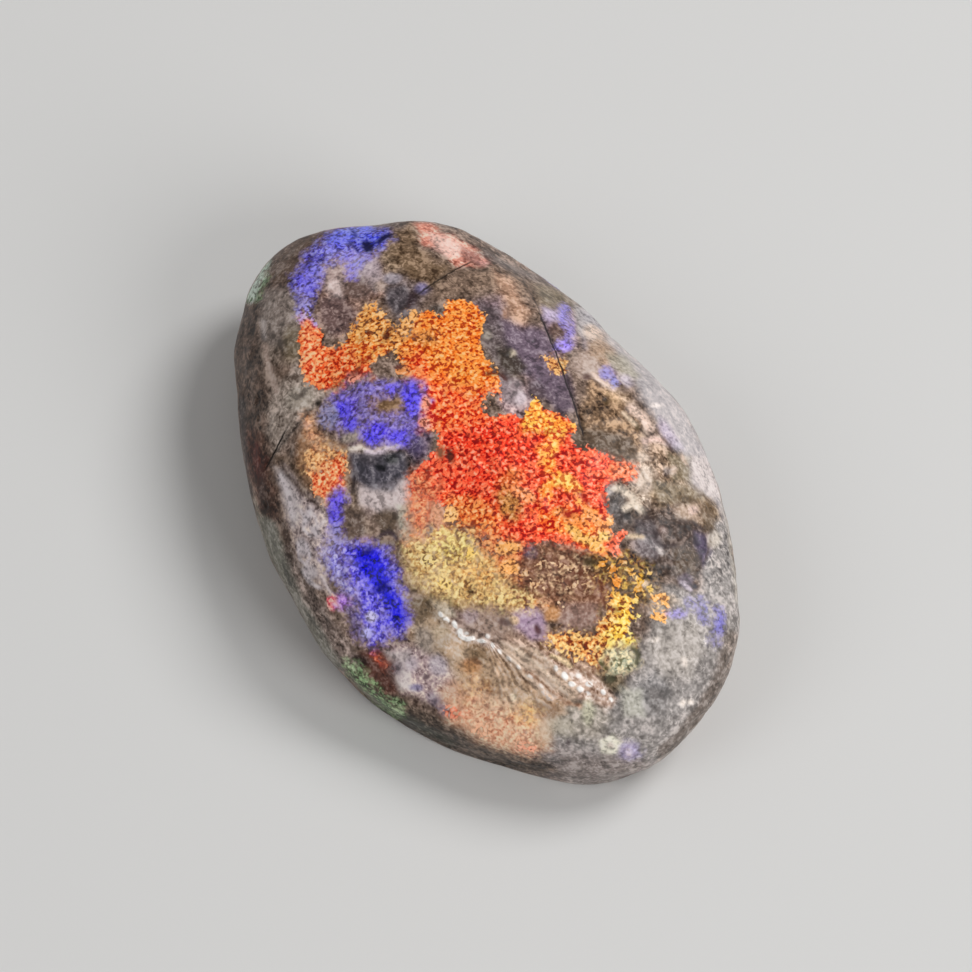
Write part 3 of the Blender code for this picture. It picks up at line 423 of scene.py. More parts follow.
# Smaller features of the potch, laid over the zones above: shape, tone,
# strength, softness
DETAIL = (
    # crown rim and the left face
    (patch((262, 262), (300, 238), (322, 232), (318, 244), (300, 256), (292, 275), (272, 290)), (114, 94, 82), 0.8, 5),
    (stroke(3.5, (345, 223), (375, 223), (402, 224)), (128, 116, 114), 0.7, 3),
    (patch((262, 292), (286, 286), (300, 300), (300, 345), (290, 352), (268, 345), (262, 320)), (150, 142, 139), 0.6, 6),
    (oval(293, 342, 10, 16), (130, 118, 96), 0.8, 5),
    (oval(300, 398, 16, 12, -35), (166, 160, 150), 0.8, 5),
    (stroke(3, (241, 400), (243, 440), (246, 475), (254, 510)), (84, 78, 78), 0.8, 3),
    (stroke(3, (256, 446), (257, 462), (260, 478)), (112, 52, 42), 0.9, 3),
    (stroke(3.5, (266, 458), (262, 474), (262, 492)), (88, 44, 32), 0.9, 3),
    (oval(266, 500, 7, 20, -10), (78, 54, 42), 0.75, 5),
    (stroke(1.2, (254, 500), (259, 513)), (172, 162, 146), 0.8, 2),
    (stroke(2.5, (263, 322), (264, 338)), (188, 183, 184), 0.8, 2.5),
    (stroke(2.2, (265, 345), (267, 362), (273, 378), (277, 392)), (190, 170, 160), 0.8, 2.5),
    (patch((276, 468), (290, 476), (300, 500), (300, 520), (292, 528), (284, 500)), (200, 196, 204), 0.8, 5),
    (stroke(2.4, (281, 476), (286, 488), (290, 500), (292, 516)), (222, 218, 228), 0.85, 2),
    (stroke(1.6, (301, 511), (306, 519), (303, 529), (310, 535)), (220, 216, 226), 0.85, 1.6),
    (stroke(1.6, (314, 515), (318, 527), (325, 521)), (214, 210, 220), 0.8, 1.6),
    (stroke(1.5, (298, 545), (300, 558), (306, 565), (311, 557), (307, 546)), (222, 218, 232), 0.85, 1.5),
    (stroke(2.2, (303, 571), (309, 581), (318, 587)), (220, 216, 226), 0.85, 2),
    (stroke(1.4, (322, 577), (328, 588), (334, 597)), (214, 206, 216), 0.8, 1.6),
    (stroke(1.2, (300, 556), (303, 570), (298, 562)), (118, 106, 104), 0.6, 1.5),
    (oval(303, 547, 6, 9, -20), (206, 202, 214), 0.9, 3),
    (oval(308, 516, 4, 10, 15), (206, 202, 214), 0.9, 3),
    (oval(315, 531, 4, 7, -30), (204, 200, 212), 0.9, 3),
    (oval(310, 572, 8, 8), (204, 200, 212), 0.8, 3),
    (stroke(1.7, (283, 522), (290, 548), (302, 578), (318, 606), (334, 632)), (92, 76, 68), 0.75, 2.5),
    (patch((252, 512), (276, 522), (286, 556), (304, 600), (330, 644), (346, 668), (330, 672), (300, 628), (268, 562)), (126, 130, 122), 0.75, 4),
    (stroke(2, (284, 470), (304, 494), (320, 507), (332, 514)), (84, 62, 48), 0.8, 2.5),
    # inside the arc and the crown
    (patch((344, 260), (376, 258), (382, 276), (376, 292), (352, 276)), (188, 178, 188), 0.7, 4),
    (patch((322, 262), (342, 260), (346, 280), (344, 300), (330, 300), (322, 282)), (178, 160, 158), 0.7, 4),
    (oval(334, 284, 6, 5), (220, 204, 204), 0.9, 3),
    (oval(338, 293, 4, 4), (218, 202, 202), 0.9, 3),
    (oval(358, 288, 16, 12, 10), (122, 102, 97), 0.8, 5),
    (oval(380, 286, 6, 6), (196, 176, 166), 0.8, 3),
    (patch((318, 296), (344, 298), (358, 312), (352, 334), (330, 336), (318, 318)), (112, 92, 96), 0.7, 5),
    (oval(392, 278, 9, 5), (168, 163, 178), 0.85, 3),
    (patch((386, 288), (404, 284), (416, 298), (412, 316), (398, 318), (386, 304)), (94, 90, 100), 0.8, 4),
    (oval(412, 299, 5, 11, 20), (70, 50, 58), 0.85, 3),
    (oval(422, 288, 6, 5), (132, 127, 180), 0.85, 3),
    (oval(436, 312, 8, 8), (92, 86, 82), 0.8, 4),
    (patch((430, 230), (448, 235), (462, 243), (460, 254), (446, 256), (434, 246)), (254, 200, 190), 0.9, 3),
    (patch((462, 246), (480, 252), (480, 262), (464, 260)), (180, 126, 116), 0.85, 3),
    (oval(483, 261, 6, 3, 15), (226, 166, 160), 0.85, 2),
    (stroke(3.5, (484, 252), (505, 265), (532, 276), (556, 286), (580, 300)), (122, 112, 110), 0.7, 3),
    (oval(508, 284, 4, 3), (204, 162, 134), 0.85, 3),
    (oval(514, 298, 4, 5), (204, 162, 134), 0.85, 3),
    (oval(520, 309, 5, 3), (200, 158, 130), 0.85, 3),
    (oval(505, 313, 3, 4), (196, 154, 128), 0.8, 3),
    (patch((540, 286), (562, 292), (574, 308), (552, 312), (540, 304)), (132, 120, 98), 0.8, 4),
    (patch((542, 308), (560, 312), (568, 322), (556, 322), (544, 318)), (192, 182, 222), 0.85, 3),
    (oval(560, 332, 9, 7), (116, 92, 82), 0.8, 4),
    (patch((500, 320), (545, 330), (560, 352), (572, 382), (576, 410), (560, 414), (545, 398), (532, 376), (516, 372), (504, 346)),
     (116, 102, 128), 0.7, 5),
    (patch((480, 300), (500, 310), (506, 340), (520, 368), (508, 384), (496, 366), (482, 344), (478, 324)), (100, 90, 96), 0.75, 5),
    (oval(487, 335, 5, 4), (174, 169, 160), 0.85, 2.5),
    (patch((496, 346), (514, 350), (528, 368), (516, 378), (500, 366)), (78, 68, 58), 0.85, 4),
    (oval(513, 353, 3, 3.5), (206, 196, 176), 0.9, 2),
    # right shoulder
    (patch((570, 352), (596, 352), (604, 366), (596, 378), (580, 374), (570, 366)), (184, 165, 155), 0.8, 4),
    (patch((574, 306), (592, 310), (604, 326), (592, 340), (578, 334)), (174, 177, 188), 0.8, 4),
    (oval(592, 332, 9, 7, 20), (226, 206, 190), 0.9, 3),
    (patch((588, 340), (606, 342), (618, 358), (606, 364), (590, 356)), (178, 152, 128), 0.8, 4),
    (patch((500, 376), (520, 380), (528, 398), (520, 408), (506, 402), (498, 390)), (150, 140, 148), 0.8, 4),
    (oval(521, 398, 5, 6), (206, 196, 208), 0.9, 2.5),
    (oval(536, 390, 10, 10), (96, 82, 94), 0.8, 4),
    (patch((606, 352), (626, 356), (640, 376), (628, 382), (612, 368)), (172, 170, 154), 0.8, 4),
    (oval(626, 380, 8, 5, 40), (196, 190, 210), 0.85, 3),
    (oval(656, 405, 6, 2), (234, 228, 228), 0.9, 1.8),
    (patch((660, 418), (668, 424), (680, 442), (684, 450), (672, 446), (662, 432)), (190, 186, 214), 0.6, 4),
    # pale patch at the bright end of the bevel, partly painted light
    (patch((690, 456), (706, 456), (722, 484), (726, 504), (706, 492), (690, 476)), (198, 193, 195), 0.85, 4),
    (stroke(3, (724, 500), (730, 528), (735, 560), (737, 600)), (170, 168, 160), 0.8, 3),
    (patch((572, 428), (600, 428), (632, 440), (640, 462), (612, 468), (586, 456), (574, 444)), (104, 88, 72), 0.85, 4),
    (stroke(2.5, (592, 374), (602, 382), (614, 388)), (230, 210, 198), 0.9, 2.5),
    (stroke(4, (630, 408), (642, 416), (650, 428)), (226, 202, 188), 0.9, 3),
    (stroke(1.8, (624, 414), (636, 425)), (228, 208, 182), 0.9, 2),
    (stroke(2.2, (644, 442), (655, 438), (665, 441)), (232, 202, 192), 0.9, 2),
    (patch((668, 452), (690, 458), (692, 482), (672, 480)), (138, 128, 104), 0.8, 4),
    (patch((650, 480), (690, 484), (706, 498), (690, 504), (660, 502)), (144, 132, 110), 0.8, 4),
    (oval(642, 457, 5, 4), (222, 206, 190), 0.9, 2.5),
    (patch((630, 468), (650, 468), (652, 490), (640, 492), (628, 480)), (212, 198, 184), 0.85, 4),
    (stroke(1.5, (682, 456), (688, 466)), (208, 188, 172), 0.85, 2),
    (oval(673, 470, 4, 4), (208, 188, 172), 0.85, 2),
    (oval(667, 472, 4, 5), (80, 60, 56), 0.85, 2),
    (patch((676, 504), (700, 504), (706, 516), (690, 524), (676, 520)), (172, 152, 132), 0.7, 4),
    (oval(693, 510, 5, 4), (218, 194, 184), 0.9, 2),
    (patch((700, 498), (716, 506), (716, 530), (704, 536), (700, 516)), (116, 96, 72), 0.85, 4),
    (patch((602, 480), (614, 482), (628, 498), (632, 520), (622, 528), (606, 512)), (82, 77, 78), 0.85, 5),
    (oval(611, 490, 5, 4), (174, 170, 170), 0.9, 2),
    (stroke(3, (615, 488), (624, 490), (634, 498)), (224, 214, 198), 0.95, 2),
    (stroke(3.4, (626, 508), (634, 503), (643, 511)), (224, 214, 198), 0.95, 2),
    (patch((640, 514), (664, 512), (690, 522), (706, 530), (706, 552), (700, 580), (686, 588), (664, 576), (650, 556), (640, 536)),
     (80, 66, 60), 0.8, 5),
    (patch((636, 520), (654, 522), (664, 548), (656, 560), (640, 556), (634, 540)), (114, 106, 112), 0.8, 4),
    (patch((672, 548), (696, 548), (696, 576), (676, 572)), (100, 84, 68), 0.8, 4),
    (patch((694, 532), (706, 534), (712, 552), (704, 566), (698, 552)), (108, 100, 140), 0.6, 4),
    (oval(686, 580, 7, 6), (126, 116, 134), 0.8, 3),
    (stroke(1.8, (682, 583), (690, 590)), (190, 184, 204), 0.9, 1.8),
    (oval(660, 550, 3, 5, -40), (196, 190, 190), 0.9, 2),
    (oval(663, 530, 4, 4), (152, 132, 127), 0.85, 2.5),
    (stroke(1.8, (628, 536), (642, 537)), (226, 206, 174), 0.9, 2),
    (oval(715, 540, 6, 8), (198, 193, 184), 0.85, 3),
    # tail
    (patch((660, 618), (700, 616), (704, 650), (690, 680), (660, 672), (648, 648)), (180, 177, 171), 0.5, 8),
    (oval(705, 642, 2, 4), (244, 238, 228), 0.9, 1.8),
    (stroke(6, (726, 655), (714, 690), (700, 712), (684, 732), (664, 752)), (112, 103, 97), 0.8, 4),
    (patch((646, 686), (668, 690), (668, 718), (650, 716)), (114, 112, 112), 0.75, 5),
    (patch((620, 688), (642, 690), (644, 716), (624, 716)), (190, 195, 185), 0.75, 5),
    (oval(683, 703, 3, 4), (228, 223, 217), 0.85, 2),
    (oval(691, 702, 3, 3), (228, 223, 217), 0.85, 2),
    (oval(684, 662, 3, 5), (228, 223, 217), 0.85, 2),
    (oval(655, 640, 4, 3), (228, 223, 217), 0.85, 2),
    (oval(588, 712, 6, 12), (204, 208, 182), 0.8, 4),
    (stroke(3, (604, 742), (612, 738), (618, 744), (614, 752), (604, 750), (603, 742)), (228, 232, 217), 0.85, 2),
    (oval(629, 752, 10, 9), (172, 162, 206), 0.8, 4),
    (oval(629, 752, 3.5, 3.5), (230, 220, 248), 0.9, 2),
    (patch((560, 752), (600, 758), (640, 758), (650, 768), (620, 780), (584, 782), (560, 776)), (136, 126, 122), 0.6, 6),
    # front bevel and its foot, tones lifted lighter in part as painted light
    (patch((416, 600), (446, 606), (452, 640), (440, 660), (418, 646), (408, 620)), (178, 158, 133), 0.8, 5),
    (patch((404, 598), (430, 598), (436, 616), (418, 622), (404, 612)), (116, 98, 74), 0.8, 4),
    (patch((430, 598), (446, 600), (456, 616), (442, 618)), (204, 194, 174), 0.85, 3),
    (patch((384, 652), (410, 650), (412, 690), (398, 688), (388, 670)), (192, 187, 192), 0.75, 4),
    (oval(438, 665, 9, 11, -20), (190, 184, 200), 0.8, 4),
    (oval(416, 688, 6, 4), (134, 134, 182), 0.8, 2.5),
    (stroke(5, (432, 697), (446, 712)), (150, 140, 165), 0.7, 4),
    (stroke(4, (372, 702), (400, 716), (430, 732), (450, 744)), (74, 78, 68), 0.8, 4),
    (patch((358, 652), (376, 648), (396, 660), (396, 694), (378, 690), (362, 670)), (104, 66, 56), 0.8, 4),
    (oval(375, 654, 5, 4), (146, 58, 46), 0.9, 2.5),
    (oval(382, 663, 5, 4, 40), (160, 76, 64), 0.9, 2.5),
    (oval(360, 660, 10, 5, 25), (46, 26, 22), 0.9, 3),
    (patch((346, 608), (360, 612), (362, 630), (350, 628)), (86, 72, 112), 0.8, 3),
    (patch((452, 640), (480, 650), (530, 690), (560, 712), (550, 744), (510, 744), (470, 700), (448, 668)), (212, 188, 160), 0.75, 6),
    (patch((478, 648), (500, 652), (530, 690), (520, 700), (490, 690), (474, 668)), (182, 154, 124), 0.65, 4),
    (oval(472, 664, 9, 7), (192, 130, 86), 0.85, 3),
    (patch((500, 642), (536, 650), (580, 690), (574, 706), (540, 690), (510, 662)), (214, 192, 170), 0.8, 4),
    (stroke(1.6, (520, 668), (535, 677), (550, 691), (570, 703)), (152, 110, 80), 0.85, 2),
    (stroke(2, (560, 655), (575, 666), (590, 677)), (124, 84, 48), 0.85, 2),
    (stroke(2.2, (552, 656), (562, 660), (570, 666)), (255, 215, 170), 0.9, 2),
    (stroke(1.6, (503, 652), (514, 668), (520, 684), (524, 700)), (206, 182, 158), 0.8, 1.8),
    (stroke(1.3, (508, 658), (520, 672), (530, 690), (538, 706)), (128, 98, 72), 0.75, 1.8),
    (stroke(1.5, (512, 660), (528, 678), (542, 696)), (212, 190, 166), 0.8, 1.8),
    (stroke(1.2, (486, 652), (496, 672), (500, 690)), (120, 92, 66), 0.7, 1.8),
    (stroke(1.5, (494, 652), (506, 676), (510, 696)), (200, 172, 146), 0.75, 1.8),
    (stroke(1.4, (516, 650), (534, 662), (552, 678), (566, 692)), (226, 208, 186), 0.8, 1.8),
    (stroke(1.2, (524, 650), (544, 664), (562, 680)), (150, 118, 92), 0.75, 1.8),
    (stroke(1.4, (532, 648), (552, 664), (568, 678), (580, 690)), (222, 200, 176), 0.8, 1.8),
    (patch((464, 650), (474, 646), (486, 652), (484, 660), (470, 661)), (146, 120, 88), 0.8, 4),
    (oval(470, 668, 11, 6, 10), (214, 158, 100), 0.75, 5),
    (oval(452, 690, 10, 12), (214, 172, 146), 0.7, 6),
    (oval(486, 684, 5, 4), (140, 104, 76), 0.8, 3),
    (stroke(2.2, (482, 690), (492, 692), (502, 694)), (146, 110, 84), 0.75, 3),
    (oval(513, 697, 3, 4), (250, 222, 196), 0.9, 2),
    (oval(505, 688, 2.6, 3.4), (244, 210, 180), 0.85, 2),
    (oval(497, 672, 3, 5), (236, 204, 172), 0.8, 2.5),
    (oval(474, 700, 6, 4), (238, 180, 154), 0.8, 3),
    (oval(528, 734, 7, 9), (160, 140, 128), 0.7, 4),
    (oval(560, 726, 12, 9, 15), (196, 192, 176), 0.7, 6),
    (oval(424, 640, 10, 14, -25), (182, 174, 168), 0.7, 6),
    (oval(440, 632, 8, 6), (206, 190, 164), 0.75, 4),
    (oval(412, 664, 6, 8), (196, 188, 204), 0.75, 4),
    (oval(398, 668, 5, 6), (120, 108, 124), 0.75, 4),
    (stroke(2.5, (520, 706), (532, 712), (536, 724), (526, 726), (516, 716)), (234, 194, 144), 0.85, 2),
    (oval(548, 710, 12, 9), (150, 116, 88), 0.7, 4),
    (patch((466, 606), (500, 604), (516, 620), (500, 640), (480, 634), (462, 622)), (176, 153, 140), 0.8, 4),
    (oval(470, 616, 8, 7), (178, 158, 166), 0.8, 3),
    (patch((560, 602), (598, 602), (600, 622), (576, 630), (560, 620)), (152, 122, 112), 0.8, 4),
    (patch((516, 612), (534, 606), (546, 620), (546, 640), (530, 640), (518, 628)), (174, 150, 186), 0.8, 4),
    (oval(552, 614, 8, 8), (208, 151, 96), 0.85, 3),
    (oval(514, 620, 5, 4), (242, 208, 168), 0.9, 2),
    # brown and olive under the red
    (patch((500, 548), (560, 548), (606, 556), (620, 580), (600, 602), (560, 600), (520, 590), (500, 570)), (124, 80, 62), 0.75, 6),
    (oval(530, 552, 7, 6), (110, 90, 112), 0.85, 3),
    (patch((576, 552), (610, 552), (640, 566), (652, 590), (640, 600), (616, 588), (590, 572)), (82, 62, 30), 0.85, 5),
    (oval(645, 584, 4, 4), (236, 216, 190), 0.9, 2),
    # left middle
    (patch((358, 486), (376, 484), (408, 478), (412, 500), (398, 512), (376, 512), (360, 504)), (206, 197, 202), 0.85, 4),
    (patch((396, 504), (411, 504), (411, 536), (400, 538)), (186, 187, 172), 0.85, 3),
    (oval(388, 520, 10, 13), (112, 97, 83), 0.85, 4),
    (patch((340, 508), (364, 510), (366, 546), (350, 556), (340, 530)), (116, 99, 90), 0.85, 4),
    (patch((372, 540), (402, 540), (404, 560), (384, 552)), (112, 96, 82), 0.85, 4),
    (oval(366, 541, 7, 5), (198, 168, 168), 0.85, 3),
    (stroke(1.8, (376, 539), (384, 532), (392, 533), (397, 539)), (58, 48, 58), 0.85, 2),
    (patch((346, 452), (404, 452), (408, 474), (392, 492), (366, 488), (350, 478)), (92, 93, 110), 0.8, 4),
    (oval(391, 459, 8, 5), (44, 48, 48), 0.85, 3),
    (stroke(2.5, (356, 474), (353, 492)), (58, 48, 54), 0.8, 2),
    (stroke(1.6, (350, 449), (360, 447), (366, 450)), (238, 228, 218), 0.95, 1.8),
    (stroke(1.8, (366, 451), (376, 453), (386, 449), (398, 446)), (220, 210, 230), 0.95, 1.8),
    (oval(350, 437, 9, 5, -20), (196, 186, 176), 0.85, 3),
    (oval(414, 442, 9, 14), (88, 78, 122), 0.8, 4),
    (patch((298, 440), (312, 412), (320, 440), (346, 446), (350, 470), (344, 496), (326, 504), (306, 484), (296, 466)), (176, 132, 92), 0.7, 5),
    (oval(308, 425, 4, 5), (218, 170, 144), 0.85, 2.5),
    (oval(311, 436, 4, 3), (218, 170, 144), 0.85, 2.5),
    (patch((404, 534), (440, 530), (476, 548), (510, 580), (500, 604), (460, 606), (430, 600), (410, 584)), (206, 176, 122), 0.6, 7),
    (patch((408, 486), (440, 500), (452, 530), (440, 548), (414, 540), (406, 510)), (232, 166, 130), 0.8, 5),
    (oval(430, 530, 5, 7), (166, 162, 152), 0.85, 3),
    (oval(415, 489, 5, 4), (182, 168, 163), 0.8, 3),
    (patch((497, 472), (518, 470), (526, 500), (522, 524), (506, 520), (498, 500)), (150, 98, 58), 0.8, 4),
)

# Play of colour: name, shape, middle tone, light fleck, dark gap, density
# (0 clears what is below), softness of the edge
FIRE = (
    ("arc_body", patch((322, 240), (338, 230), (352, 225), (372, 229), (389, 231), (393, 238), (380, 247), (370, 258), (358, 258), (351, 277),
                       (345, 264), (335, 258), (323, 264), (318, 286), (312, 298), (310, 312), (299, 313), (299, 298), (293, 290), (293, 277),
                       (302, 266), (310, 252)), (122, 118, 236), (172, 172, 252), (62, 52, 156), 0.74, 6),
    ("arc_bright", stroke(6, (336, 240), (350, 233), (364, 237), (380, 238)), (66, 76, 250), (130, 140, 255), (10, 6, 140), 1.0, 5),
    ("arc_low_bloom", stroke(5, (350, 258), (352, 274)), (150, 140, 230), (182, 174, 248), (100, 88, 170), 0.7, 5),
    ("arc_left", stroke(7, (311, 262), (306, 280), (304, 290)), (106, 94, 222), (144, 136, 244), (58, 46, 140), 0.75, 6),
    ("arc_foot", stroke(5, (304, 300), (303, 314), (310, 319)), (152, 144, 208), (184, 178, 232), (104, 92, 150), 0.55, 6),
    ("arm_gold", patch((344, 340), (354, 322), (362, 305), (376, 301), (386, 318), (396, 325), (408, 310), (415, 318), (409, 335), (421, 345),
                       (402, 358), (385, 352), (365, 350)), (224, 154, 86), (255, 200, 140), (136, 76, 24), 0.84, 8),
    ("arm_left", patch((301, 320), (315, 326), (322, 338), (328, 348), (350, 346), (374, 346), (382, 354), (373, 372), (355, 376), (345, 385),
                       (325, 390), (311, 383), (302, 368), (299, 345)), (240, 106, 60), (255, 176, 128), (186, 62, 20), 1.0, 4),
    ("arm_salmon", oval(309, 352, 7, 26), (244, 136, 98), (255, 196, 158), (214, 84, 50), 0.95, 6),
    ("arm_amber", patch((352, 342), (384, 344), (384, 354), (356, 362)), (240, 140, 62), (255, 190, 118), (196, 76, 14), 0.95, 6),
    ("block_orange", patch((404, 352), (412, 335), (418, 318), (426, 311), (440, 315), (450, 303), (465, 298), (476, 304), (486, 316), (481, 335),
                           (485, 352), (493, 368), (499, 382), (488, 396), (480, 402), (430, 402), (421, 386), (406, 373)),
     (242, 142, 58), (255, 186, 112), (192, 84, 20), 1.0, 4),
    ("block_brown_gap", oval(424, 338, 12, 7), (170, 110, 56), (232, 170, 110), (110, 62, 20), 0.75, 6),
    ("red_upper", patch((404, 362), (420, 352), (432, 378), (470, 392), (495, 386), (502, 396), (488, 411), (502, 420), (500, 442), (460, 442),
                        (436, 434), (420, 426), (417, 405), (424, 390), (411, 378)), (245, 106, 52), (255, 162, 114), (196, 36, 12), 1.0, 9),
    ("red_main", patch((436, 432), (460, 430), (500, 418), (510, 414), (530, 420), (545, 410), (560, 415), (573, 425), (573, 440), (582, 450),
                       (600, 451), (614, 461), (634, 467), (634, 477), (613, 479), (603, 490), (606, 505), (613, 518), (606, 530), (614, 546),
                       (604, 557), (590, 552), (570, 546), (545, 541), (521, 546), (516, 562), (495, 562), (489, 545), (470, 521), (455, 516),
                       (440, 501), (412, 506), (408, 480), (424, 461), (440, 444)), (244, 80, 56), (255, 134, 106), (170, 18, 10), 1.0, 5),
    ("red_deep", oval(500, 442, 34, 16, 8), (232, 58, 36), (252, 108, 76), (160, 12, 6), 1.0, 12),
    ("fringe_salmon", patch((408, 478), (426, 474), (436, 490), (431, 505), (429, 531), (420, 543), (406, 537), (409, 500)),
     (226, 128, 100), (255, 184, 154), (178, 86, 60), 0.66, 9),
    ("red_pink_edge", stroke(4, (424, 392), (422, 404), (427, 418), (424, 426)), (248, 150, 136), (255, 200, 190), (200, 60, 60), 0.9, 4),
    ("amber_corner", patch((522, 426), (528, 402), (536, 398), (546, 411), (561, 417), (574, 428), (566, 437), (548, 431), (526, 433)),
     (244, 160, 72), (255, 216, 118), (196, 84, 28), 1.0, 4),
    ("amber_streak", stroke(4.5, (553, 430), (553, 442), (545, 452), (547, 466)), (248, 186, 96), (255, 226, 134), (226, 118, 48), 1.0, 4),
    ("amber_lower", stroke(5, (549, 466), (556, 480), (548, 492)), (246, 142, 64), (255, 196, 110), (206, 70, 26), 1.0, 5),
    ("amber_spot", stroke(3.5, (558, 478), (567, 481), (573, 488)), (252, 216, 116), (255, 238, 160), (236, 160, 60), 1.0, 3),
    ("right_orange", patch((536, 506), (575, 512), (603, 515), (609, 540), (590, 542), (560, 532), (540, 524)), (245, 118, 56), (255, 178, 110), (190, 40, 14), 1.0, 7),
    ("right_worm", stroke(3.2, (568, 527), (582, 538), (598, 547)), (250, 196, 104), (255, 230, 150), (226, 120, 46), 1.0, 3),
    ("right_worm_b", stroke(2.4, (580, 500), (586, 508), (592, 518)), (250, 178, 96), (255, 214, 140), (222, 100, 40), 1.0, 3),
    ("right_pale", oval(604, 536, 7, 5), (254, 214, 152), (255, 236, 196), (220, 150, 90), 0.95, 3),
    ("right_spur", patch((608, 462), (634, 466), (634, 477), (614, 478)), (234, 112, 78), (255, 168, 130), (180, 64, 36), 0.66, 5),
    ("fringe_low", patch((448, 498), (480, 500), (502, 520), (492, 537), (465, 532), (448, 520)), (228, 122, 66), (252, 178, 120), (166, 66, 28), 0.85, 7),
    ("fringe_brown", patch((470, 530), (495, 534), (521, 545), (516, 566), (526, 576), (500, 582), (478, 566)), (206, 118, 80), (250, 176, 130), (120, 48, 24), 0.66, 8),
    ("fibre_clear", oval(509, 503, 11, 17, -20), (156, 108, 62), (206, 154, 98), (96, 56, 26), 0.85, 6),
    ("fibre_clear_top", oval(512, 478, 10, 8), (206, 116, 68), (240, 156, 104), (160, 80, 36), 0.85, 6),
    ("gold_net", patch((402, 546), (425, 535), (445, 524), (466, 530), (480, 550), (500, 575), (520, 590), (547, 600), (530, 611), (495, 609),
                       (470, 607), (440, 599), (414, 581)), (216, 182, 128), (255, 236, 192), (132, 94, 54), 0.62, 9),
    ("gold_amber", oval(478, 572, 16, 10, 20), (218, 156, 92), (255, 210, 148), (126, 78, 34), 0.62, 9),
    ("gold_green", patch((434, 546), (447, 530), (455, 544), (473, 539), (469, 556), (450, 558), (437, 557)), (210, 196, 124), (252, 242, 180), (124, 104, 54), 0.62, 9),
    ("brown_worms", patch((530, 556), (570, 552), (600, 562), (600, 590), (560, 600), (530, 590)), (156, 134, 122), (224, 202, 186), (82, 60, 46), 0.42, 9),
    ("patch_orange", patch((543, 642), (555, 632), (565, 627), (590, 632), (598, 618), (606, 600), (611, 584), (623, 585), (633, 600), (625, 620),
                           (613, 640), (609, 655), (598, 669), (585, 663), (570, 656), (551, 651)), (226, 160, 100), (255, 220, 164), (140, 70, 26), 0.78, 8),
    ("patch_bits", patch((648, 598), (662, 598), (666, 612), (652, 619)), (204, 168, 118), (246, 214, 166), (126, 92, 52), 0.50, 6),
    ("patch_spread", patch((590, 560), (620, 554), (648, 564), (656, 590), (642, 606), (618, 598), (600, 586)), (218, 152, 72), (255, 214, 120),
     (112, 68, 28), 0.36, 9),
    ("patch_trail", stroke(4, (622, 556), (614, 570), (618, 586)), (232, 166, 70), (255, 220, 120), (112, 66, 22), 0.62, 6),
    ("patch_yellow", patch((617, 600), (630, 601), (637, 615), (629, 630), (635, 641), (620, 646), (612, 656), (603, 651), (611, 630), (615, 615)),
     (242, 206, 88), (255, 246, 152), (158, 104, 28), 0.90, 7),
    ("patch_green", patch((603, 653), (620, 647), (635, 649), (638, 664), (622, 673), (607, 669)), (206, 212, 178), (248, 252, 228), (136, 142, 104), 0.74, 8),
    ("ring", patch((322, 412), (330, 397), (345, 389), (358, 379), (378, 377), (400, 381), (419, 384), (424, 400), (421, 425), (411, 441),
                   (398, 447), (385, 443), (372, 446), (363, 437), (357, 428), (345, 431), (329, 429)), (122, 106, 196), (166, 154, 226), (82, 68, 128), 0.55, 6),
    ("ring_a", oval(345, 408, 10, 13), (116, 94, 226), (154, 138, 250), (80, 60, 150), 0.85, 6),
    ("ring_b", oval(377, 433, 14, 8), (112, 92, 230), (156, 142, 252), (76, 56, 160), 0.85, 5),
    ("ring_c", oval(400, 438, 8, 6), (118, 102, 238), (156, 144, 252), (80, 64, 170), 0.85, 5),
    ("ring_d", oval(415, 404, 6, 17), (100, 84, 196), (140, 126, 226), (66, 50, 120), 0.75, 5),
    ("ring_e", oval(386, 387, 17, 5), (142, 128, 214), (178, 168, 238), (96, 82, 140), 0.6, 5),
    ("ring_clear", oval(388, 404, 17, 8), (140, 116, 84), (170, 146, 112), (104, 82, 54), 0.0, 5),
    ("small_tan", patch((301, 466), (304, 452), (320, 444), (340, 447), (346, 457), (326, 466), (307, 474)), (214, 158, 116), (250, 208, 168), (140, 94, 60), 0.70, 6),
    ("small_spur", stroke(4.5, (305, 417), (310, 430), (318, 443)), (210, 160, 134), (246, 204, 182), (140, 96, 76), 0.62, 5),
    ("small_orange", patch((311, 475), (325, 465), (338, 460), (346, 454), (348, 470), (343, 485), (332, 493), (325, 501), (315, 496), (309, 485)),
     (250, 146, 108), (255, 204, 168), (216, 94, 58), 1.0, 5),
    ("blue_trail", stroke(5, (341, 492), (337, 505), (335, 526)), (116, 98, 222), (152, 138, 246), (76, 58, 150), 0.8, 5),
    ("blue_pale", patch((329, 536), (338, 530), (346, 548), (341, 575), (352, 592), (340, 586), (325, 566), (321, 552)),
     (158, 152, 236), (206, 204, 255), (116, 106, 190), 0.70, 7),
    ("blue_halo", patch((345, 547), (370, 541), (392, 555), (400, 580), (406, 600), (409, 620), (403, 633), (385, 641), (372, 646), (361, 632),
                        (359, 610), (351, 590), (344, 570)), (112, 100, 236), (170, 162, 255), (50, 36, 180), 0.80, 8),
    ("blue_core", patch((351, 552), (365, 546), (382, 551), (387, 570), (393, 590), (403, 612), (405, 627), (396, 625), (386, 605), (374, 591), (361, 575)),
     (16, 0, 226), (56, 48, 255), (4, 0, 112), 1.0, 5),
    ("violet_low", stroke(5, (346, 602), (352, 620), (361, 637)), (122, 106, 152), (162, 148, 192), (78, 62, 98), 0.45, 6),
    ("pink_spot", oval(332, 601, 5.5, 7), (252, 122, 158), (255, 208, 226), (224, 60, 108), 0.95, 3),
    ("pink_violet", oval(343, 602, 6, 6), (186, 134, 228), (220, 176, 252), (120, 70, 160), 0.85, 3),
    ("foot_salmon", patch((443, 708), (458, 705), (470, 698), (490, 703), (515, 711), (538, 721), (538, 740), (542, 752), (525, 754), (508, 749),
